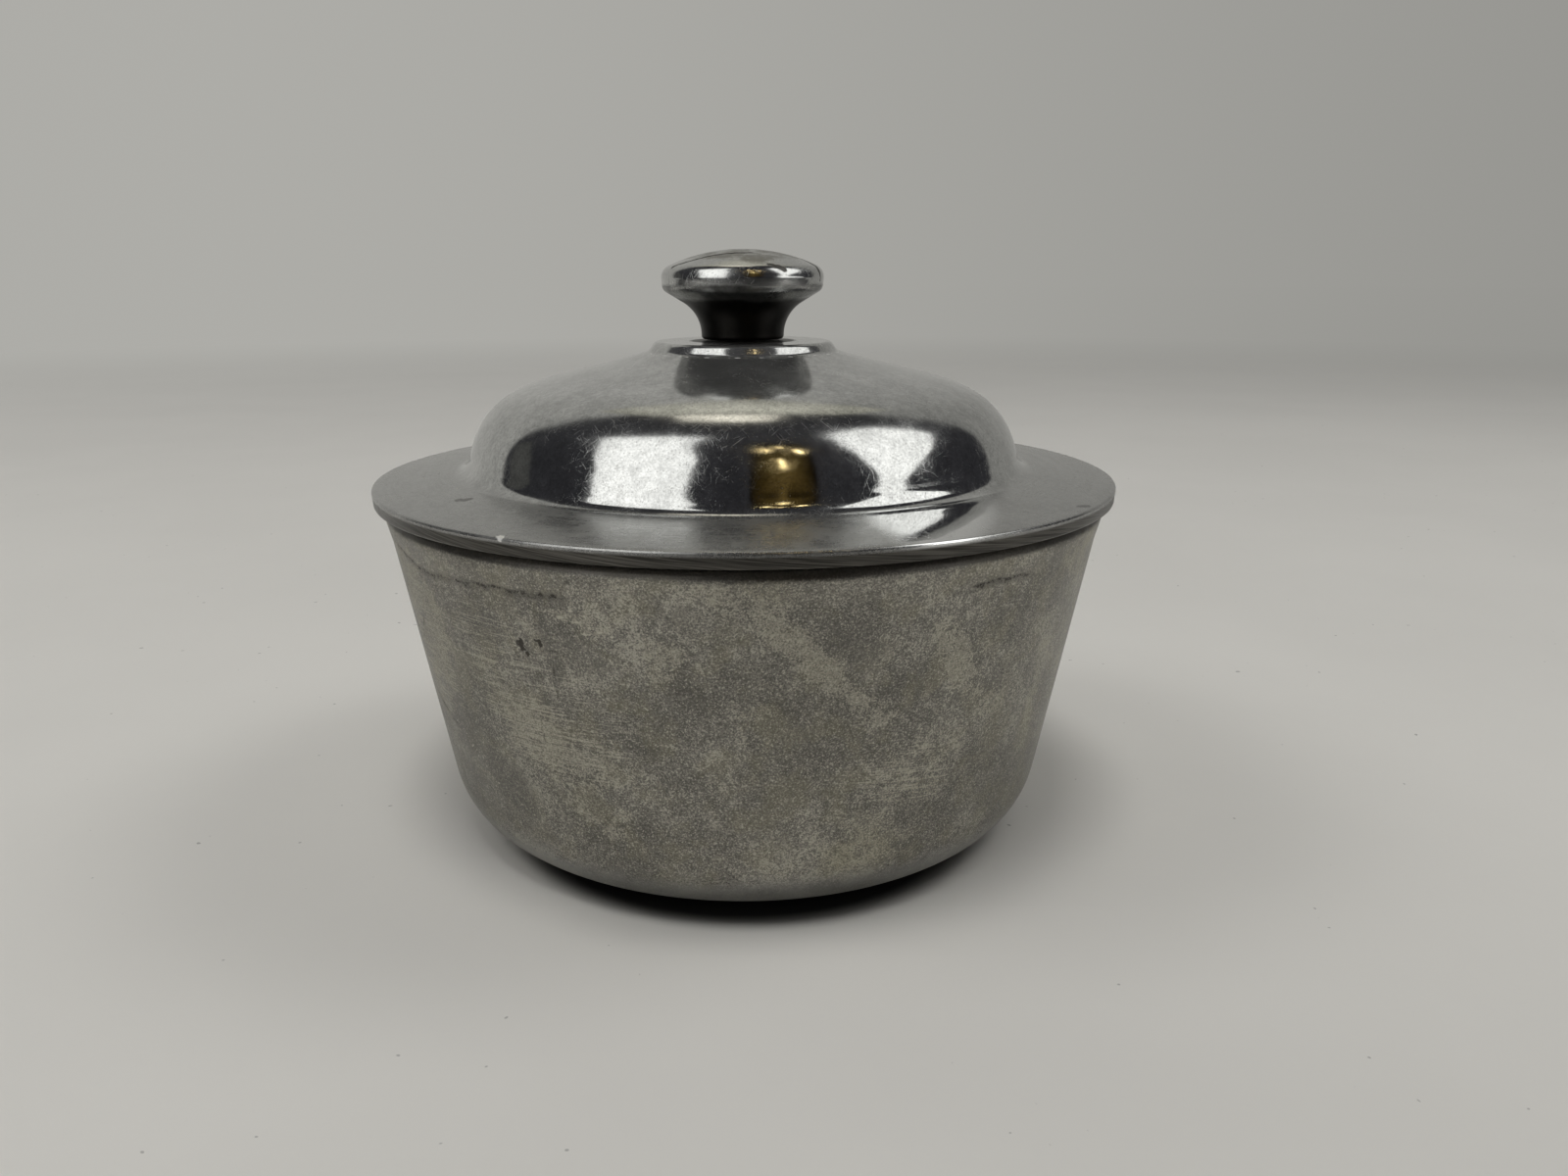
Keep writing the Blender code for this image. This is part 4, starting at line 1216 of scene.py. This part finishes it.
def graded(nodes, parts, tint):
    """A light that is about a quarter darker towards +X, by the ratio x / y of a place or direction."""
    aside = nodes.math("DIVIDE", parts["X"], nodes.most(parts["Y"], 0.001))
    return nodes.blend(nodes.ramp(aside, -0.5, 0.9), tint, dimmed(tint, 0.72))


def floor_tint(nodes, place, settings):
    """Colour of the floor: faintly cloudy, with a few specks, and a painted contact shadow, nearly black in a
    small patch under the front of the bowl's bottom corner."""
    cloud = nodes.ramp(nodes.noise(place, 9, 5, 0.55), 0.3, 0.7)
    specks = nodes.ramp(nodes.noise(place, 420, 1), 0.78, 0.8)
    off = nodes.size(nodes.vector("ADD", place, (0, 10 * MM, 0)))
    return nodes.layered(
        nodes.blend(cloud, dimmed(settings.floor_colour, 0.965), settings.floor_colour),
        (specks, SPECK, 0.6),
        # Painted contact shadow: the floor goes nearly black under the front of the bowl's bottom corner
        (nodes.ramp(off, *PAINTED_SHADOW_EDGE, 1.0, 0.0), PAINTED_CONTACT_SHADOW, 1.0),
    )


def floor_material(settings):
    """The pale floor. Far out the camera sees the backdrop's light in its place; reflections see where a
    table would end, and the board's light behind it."""
    material, nodes = new_material("pale_floor")
    place = nodes.add("ShaderNodeTexCoord").outputs["Object"]
    parts = nodes.parts(place)
    direct = nodes.add("ShaderNodeLightPath").outputs["Is Camera Ray"]
    indirect = nodes.math("SUBTRACT", 1.0, direct)
    side = nodes.math("SUBTRACT", nodes.math("ABSOLUTE", parts["X"]), settings.table_width)
    front = nodes.math("SUBTRACT", nodes.times(parts["Y"], -1.0), settings.table_depth)
    past = nodes.times(nodes.ramp(nodes.most(side, front), 0.0, 60 * MM), indirect)
    tint = nodes.blend(past, floor_tint(nodes, place, settings), PAST_TABLE)
    surface = nodes.add("ShaderNodeBsdfPrincipled", {"Base Color": tint, "Roughness": 0.6})
    away = nodes.times(nodes.ramp(nodes.size(place), *FAR_FLOOR), direct)
    behind = nodes.times(nodes.ramp(parts["Y"], *BOARD_FOOT), indirect)
    for factor, light in ((away, settings.backdrop), (behind, settings.board_light)):
        glow = nodes.add("ShaderNodeEmission", {"Color": graded(nodes, parts, light)})
        shaders = {0: factor, 1: surface.outputs[0], 2: glow.outputs[0]}
        surface = nodes.add("ShaderNodeMixShader", shaders)
    nodes.add("ShaderNodeOutputMaterial", {"Surface": surface.outputs[0]})
    return material


def panel_material(name, light):
    """Plain light that falls off from the middle of a panel to its rim."""
    material, nodes = new_material(name)
    glow = nodes.add("ShaderNodeEmission", {"Color": nodes.blend(nodes.mask("fade"), (0, 0, 0), light)})
    nodes.add("ShaderNodeOutputMaterial", {"Surface": glow.outputs[0]})
    return material


class SUGARBOWL_OT_stage(Operator):
    """Add the camera, the pale floor and the soft lights"""

    bl_idname = "sugarbowl.stage"
    bl_label = "Build Stage"

    def execute(self, context):
        settings = context.scene.sugarbowl_stage
        self.add_camera(context, settings)
        self.add_floor(context, settings)
        self.add_world(context, settings)
        for name, panel in SHINE_PANELS.items():
            self.add_panel(context, name, *panel)
        for name, softbox in SOFTBOXES.items():
            self.add_softbox(context, name, *softbox)
        return {"FINISHED"}

    def add_camera(self, context, settings):
        """The camera stands in front, looks down a little and is turned about its own line of sight."""
        data = bpy.data.cameras.new("camera")
        data.sensor_width = 36
        data.lens = settings.lens
        data.shift_x = settings.camera_shift
        data.clip_start, data.clip_end = 0.01, 20
        camera = bpy.data.objects.new("camera", data)
        context.collection.objects.link(camera)
        camera.location = (0, -settings.camera_distance, settings.camera_height)
        view = Euler((math.pi / 2 - settings.camera_dip, 0, 0)).to_matrix()
        roll = Euler((0, 0, settings.camera_roll)).to_matrix()
        camera.rotation_euler = (view @ roll).to_euler()
        context.scene.camera = camera

    def add_floor(self, context, settings):
        """A flat floor 1 mm thick: P(r, a) = (r sin a, -r cos a, level), with r growing geometrically."""
        radii = np.concatenate([[0], np.geomspace(0.05, settings.floor_radius, 24)])
        top, _ = turned_grid(np.stack([radii, np.full(len(radii), FLOOR_LEVEL)], axis=1), FLOOR_COLUMNS)
        drop = [0, 0, 1 * MM]
        below = np.zeros((1, FLOOR_COLUMNS, 3)) - drop
        mesh, _ = grid_mesh("floor", np.concatenate([top, top[-1:] - drop, below]), False)
        outward(mesh)
        mesh.materials.append(floor_material(settings))
        floor = bpy.data.objects.new("floor", mesh)
        context.collection.objects.link(floor)

    def add_world(self, context, settings):
        """A pale board behind the object, an unlit room around it, and a plain backdrop for the camera
        itself. The board fills the directions where y > 0.38 |x| + 0.11 max(x, 0) + 0.35 z and y > 0.68
        z."""
        world = bpy.data.worlds.new("studio")
        world.use_nodes = True
        nodes = Nodes(world.node_tree)
        nodes.tree.nodes.clear()
        parts = nodes.parts(nodes.add("ShaderNodeTexCoord").outputs["Generated"])
        across, right = nodes.math("ABSOLUTE", parts["X"]), nodes.most(parts["X"], 0.0)
        side = nodes.total(0.0, (across, 0.38), (right, 0.11), (parts["Z"], 0.35))
        limit = nodes.most(side, nodes.times(parts["Z"], 0.68))
        board = nodes.ramp(nodes.math("SUBTRACT", parts["Y"], limit), -0.01, 0.02)
        seen = nodes.blend(board, settings.room_dark, graded(nodes, parts, settings.board_light))
        direct = nodes.add("ShaderNodeLightPath").outputs["Is Camera Ray"]
        shown = nodes.blend(direct, seen, graded(nodes, parts, settings.backdrop))
        background = nodes.add("ShaderNodeBackground", {"Color": shown, "Strength": 1.0})
        nodes.add("ShaderNodeOutputWorld", {"Surface": background.outputs[0]})
        context.scene.world = world

    def add_panel(self, context, name, corners, light, rim, distance):
        """A flat glowing fan: each corner lies along its direction d on the plane n . p = distance, where
        n is the mean direction. The mesh carries the share of the light."""
        out = direction(*np.transpose(corners))
        middle = out.mean(axis=0)
        middle /= np.linalg.norm(middle)
        places = out * distance / (out @ middle)[:, None] + PANEL_CENTRE
        count = len(places)
        places = np.vstack([places, places.mean(axis=0)])
        mesh = bpy.data.meshes.new(name)
        mesh.from_pydata(places.tolist(), [], [[i, (i + 1) % count, count] for i in range(count)])
        layer = mesh.attributes.new("fade", "FLOAT", "POINT")
        layer.data.foreach_set("value", np.array([rim] * count + [1.0], np.float32))
        mesh.materials.append(panel_material(name, light))
        panel = bpy.data.objects.new(name, mesh)
        context.collection.objects.link(panel)
        panel.visible_camera = panel.visible_diffuse = panel.visible_shadow = False

    def add_softbox(self, context, name, aim, size, energy):
        """A square area light that faces the origin."""
        out = Vector(direction(*aim))
        data = bpy.data.lights.new(name, "AREA")
        data.size = size
        data.energy = energy
        data.color = SOFTBOX_TINT
        light = bpy.data.objects.new(name, data)
        context.collection.objects.link(light)
        light.location = out * SOFTBOX_DISTANCE
        light.rotation_euler = out.to_track_quat("Z", "Y").to_euler()
        light.visible_camera = light.visible_glossy = False


# Builders of the pieces

# Radii on the lid that its sizes don't give: the knob's foot, the end of the painted shade in the joint round
# it, the end of the worn crown and the shoulder; and the width of the painted shade in a corner
KNOB_FOOT = 7.6 * MM
JOINT_END = 9.2 * MM
CROWN_END = 40 * MM
SHOULDER = 42 * MM
CORNER_SHADE_WIDTH = 0.9 * MM


def bowl_masks(sizes, inside, heights, angles):
    """Where the bowl's areas and marks are. The marks are laid out as on a wall 3 mm inside the rim."""
    radius = sizes.rim_radius - 3 * MM
    off, presence = crack_field(angles, heights, radius)
    masks = {
        "crack": presence,
        "stain": stroke_field(angles * radius, heights, STAINS, radius=radius),
        "cut": stroke_field(angles * radius, heights, CUTS, radius=radius),
        # under: where grime and painted contact shade darken the very foot
        "under": grown(heights, 0.3 * MM, 0),
        "low": grown(heights, 8 * MM, 2 * MM),
        "foot": grown(heights, 12 * MM, 6 * MM),
        "band": grown(heights - sizes.height + sizes.band_height, 0, 0.6 * MM),
        # rim: where grime and painted shade darken the rim under the lid's flange
        "rim": grown(heights - sizes.height, -2.2 * MM, -1.0 * MM),
    }
    for name, patches in PATCHES.items():
        masks[name] = patch_field(angles, heights, radius, patches)
    inside = np.broadcast_to(inside[:, None], angles.shape)
    masks = {name: values * (1 - inside) for name, values in masks.items()}
    return {**masks, "inside": inside, "crack_off": off}


class SUGARBOWL_OT_bowl(Operator):
    """Build the cast bowl with its worn and stained wall"""

    bl_idname = "sugarbowl.bowl"
    bl_label = "Build Bowl"

    def execute(self, context):
        sizes = context.scene.sugarbowl_bowl
        outline, inside = bowl_outline(sizes)
        grid, angles = turned_grid(outline, BOWL_COLUMNS)
        masks = bowl_masks(sizes, inside, grid[..., 2], angles)
        material = cast_bowl_metal(context.scene.sugarbowl_finishes)
        flat = unrolled(outline, angles)
        finish_piece("bowl_casting", grid, False, flat, masks, material, "bowl", "bowl")
        return {"FINISHED"}


def lid_areas_along(sizes, outline, counts):
    """Areas of the lid that run all the way round. The outline's stretches are the boss, the dome, the
    flange's top, its edge, and the hidden side."""
    stretch = np.repeat(np.arange(len(counts)), counts)[:, None]
    radius, height = outline[:, :1], outline[:, 1:] - sizes.seat_height
    outside, crown = stretch <= 2, stretch <= 1
    boss_foot, dome_foot = sizes.boss_radius + sizes.boss_taper, sizes.dome_radius + 1.2 * MM
    low = height < sizes.flange_thickness + 3 * MM
    near_knob, near_boss = (hump(radius, corner, CORNER_SHADE_WIDTH) for corner in (KNOB_FOOT, boss_foot))
    near_dome = hump(radius, dome_foot, 1.6 * MM) * low
    return {
        "flange": grown(radius, sizes.dome_radius, sizes.dome_radius + 2 * MM) * outside,
        "edge": (stretch == 3).astype(float),
        "inside": (stretch == 4).astype(float),
        # corner: where painted shade darkens the corners at the feet of the knob, the boss and the dome
        "corner": np.maximum(near_knob, 0.6 * np.maximum(near_boss, near_dome)) * outside,
        "crown": grown(radius, CROWN_END, CROWN_END - 6 * MM) * crown,
        "shoulder": hump(radius, SHOULDER, 2.5 * MM) * crown,
        # joint: where painted shade darkens the ring round the knob's foot
        "joint": grown(radius, JOINT_END, JOINT_END - 0.6 * MM) * crown,
        "seam": crown.astype(float),
    }


def lid_masks(sizes, outline, counts, grid, angles):
    """Where the lid's areas and marks are. The flange's scuffed part fades out beyond 16 and -38 degrees,
    and its bright part runs from 18 to 49 degrees at a radius of 50 mm, and less far further out."""
    masks = lid_areas_along(sizes, outline, counts)
    masks = {name: np.broadcast_to(values, angles.shape) for name, values in masks.items()}
    x, y, z = grid.transpose(2, 0, 1)
    radius, turn, flange = outline[:, :1], np.degrees(angles), masks["flange"]
    clear = np.maximum(grown(turn, 16, 24), grown(turn, -38, -52))
    masks["scuff"] = flange * np.where(np.abs(turn) < 120, 1 - clear, 0.4)
    last = 49 - 1.3 * (radius / MM - 50)
    masks["bright"] = flange * grown(turn, 18, 22) * grown(turn - last, 0, -5)
    # The casting line round the boss's foot, where a painted highlight goes
    ragged = 0.12 * MM * np.sin(23 * angles) + 0.08 * MM * np.sin(61 * angles + 1)
    seam = sizes.boss_radius + sizes.boss_taper + 0.7 * MM + ragged
    masks["seam"] = masks["seam"] * hump(radius, seam, 0.22 * MM)
    masks["pit"] = stroke_field(x, y, LID_PITS, 1.3) * (flange > 0)
    upper_edge = np.abs(z - sizes.seat_height - sizes.flange_thickness) < 0.6 * MM
    masks["chip"] = stroke_field(x, y, LID_CHIPS, 1.2) * upper_edge
    return masks


class SUGARBOWL_OT_lid(Operator):
    """Build the domed lid with its flange, boss and centring ring"""

    bl_idname = "sugarbowl.lid"
    bl_label = "Build Lid"

    def execute(self, context):
        sizes = context.scene.sugarbowl_lid
        outline, counts = lid_outline(sizes)
        grid, angles = turned_grid(outline, LID_COLUMNS)
        masks = lid_masks(sizes, outline, counts, grid, angles)
        material = lid_polish(context.scene.sugarbowl_finishes)
        flat = unrolled(outline, angles)
        finish_piece("lid_casting", grid, True, flat, masks, material, "lid_set", "lid")
        return {"FINISHED"}


def knob_masks(sizes, grid, angles):
    """Where the knob's worn crown, its scores, its tarnished neck and the painted shade under the cap are."""
    x, y, z = grid.transpose(2, 0, 1)
    radius, above = np.hypot(x, y), z - sizes.base_height - sizes.neck_height
    top = above > 5 * MM
    worn = 0.8 * (sizes.neck_radius + sizes.cap_overhang)
    worn = worn + 0.8 * MM * np.sin(3 * angles + 0.8) + 0.5 * MM * np.sin(7 * angles)
    # Past the neck itself this runs out under the cap's underside, and the half share below reaches its lower
    # rounding: painted shade there
    neck = grown(radius, 13.4 * MM, 9.8 * MM) * (above < 4.4 * MM)
    return {
        "crown": grown(radius - worn, 0, -1.2 * MM) * top,
        "score": stroke_field(x, y, SCORES) * top,
        "neck": np.maximum(neck, 0.5 * grown(above, 5.3 * MM, 4.6 * MM)),
    }


class SUGARBOWL_OT_knob(Operator):
    """Build the turned and polished knob"""

    bl_idname = "sugarbowl.knob"
    bl_label = "Build Knob"

    def execute(self, context):
        sizes = context.scene.sugarbowl_knob
        outline = knob_outline(sizes)
        grid, angles = turned_grid(outline, KNOB_COLUMNS)
        masks = knob_masks(sizes, grid, angles)
        material = knob_polish(context.scene.sugarbowl_finishes)
        flat = unrolled(outline, angles)
        finish_piece("knob_turning", grid, False, flat, masks, material, "lid_set", "knob")
        return {"FINISHED"}


class SUGARBOWL_OT_screw(Operator):
    """Build the slotted screw with its thread"""

    bl_idname = "sugarbowl.screw"
    bl_label = "Build Screw"

    def execute(self, context):
        outline, grid, angles, hollow = screw_grid(context.scene.sugarbowl_screw)
        material = plated_steel(context.scene.sugarbowl_finishes)
        flat = unrolled(outline, angles)
        masks = {"hollow": hollow}
        finish_piece(
            "knob_screw_threaded", grid, False, flat, masks, material, "lid_set", "knob_screw",
        )
        return {"FINISHED"}


# The add-on's lists, its panel and its registration

OPERATORS = (SUGARBOWL_OT_stage, SUGARBOWL_OT_bowl, SUGARBOWL_OT_lid, SUGARBOWL_OT_knob, SUGARBOWL_OT_screw)
SETTINGS = {
    "sugarbowl_stage": StageSettings, "sugarbowl_bowl": BowlSizes, "sugarbowl_lid": LidSizes,
    "sugarbowl_knob": KnobSizes, "sugarbowl_screw": ScrewSizes, "sugarbowl_finishes": Finishes,
}


class SUGARBOWL_PT_panel(Panel):
    """Lists the builders of the covered sugar bowl and their sizes"""

    bl_label = "Sugar Bowl"
    bl_idname = "SUGARBOWL_PT_panel"
    bl_space_type = "VIEW_3D"
    bl_region_type = "UI"
    bl_category = "Sugar Bowl"

    def draw(self, context):
        for kind in OPERATORS:
            self.layout.operator(kind.bl_idname)
        for name in SETTINGS:
            box = self.layout.box()
            for key in SETTINGS[name].__annotations__:
                box.prop(getattr(context.scene, name), key)


CLASSES = (*SETTINGS.values(), *OPERATORS, SUGARBOWL_PT_panel)


def register():
    """Registers the classes and hangs the settings on the scene."""
    for kind in CLASSES:
        bpy.utils.register_class(kind)
    for name, kind in SETTINGS.items():
        setattr(bpy.types.Scene, name, PointerProperty(type=kind))


def unregister():
    """Takes the settings and the classes away again."""
    for name in SETTINGS:
        delattr(bpy.types.Scene, name)
    for kind in reversed(CLASSES):
        bpy.utils.unregister_class(kind)


def main():
    """Builds everything in order."""
    register()
    builders = bpy.ops.sugarbowl
    for build in (builders.stage, builders.bowl, builders.lid, builders.knob, builders.screw):
        build()
    bpy.context.scene.view_settings.view_transform = "Standard"


if __name__ == "__main__":
    main()
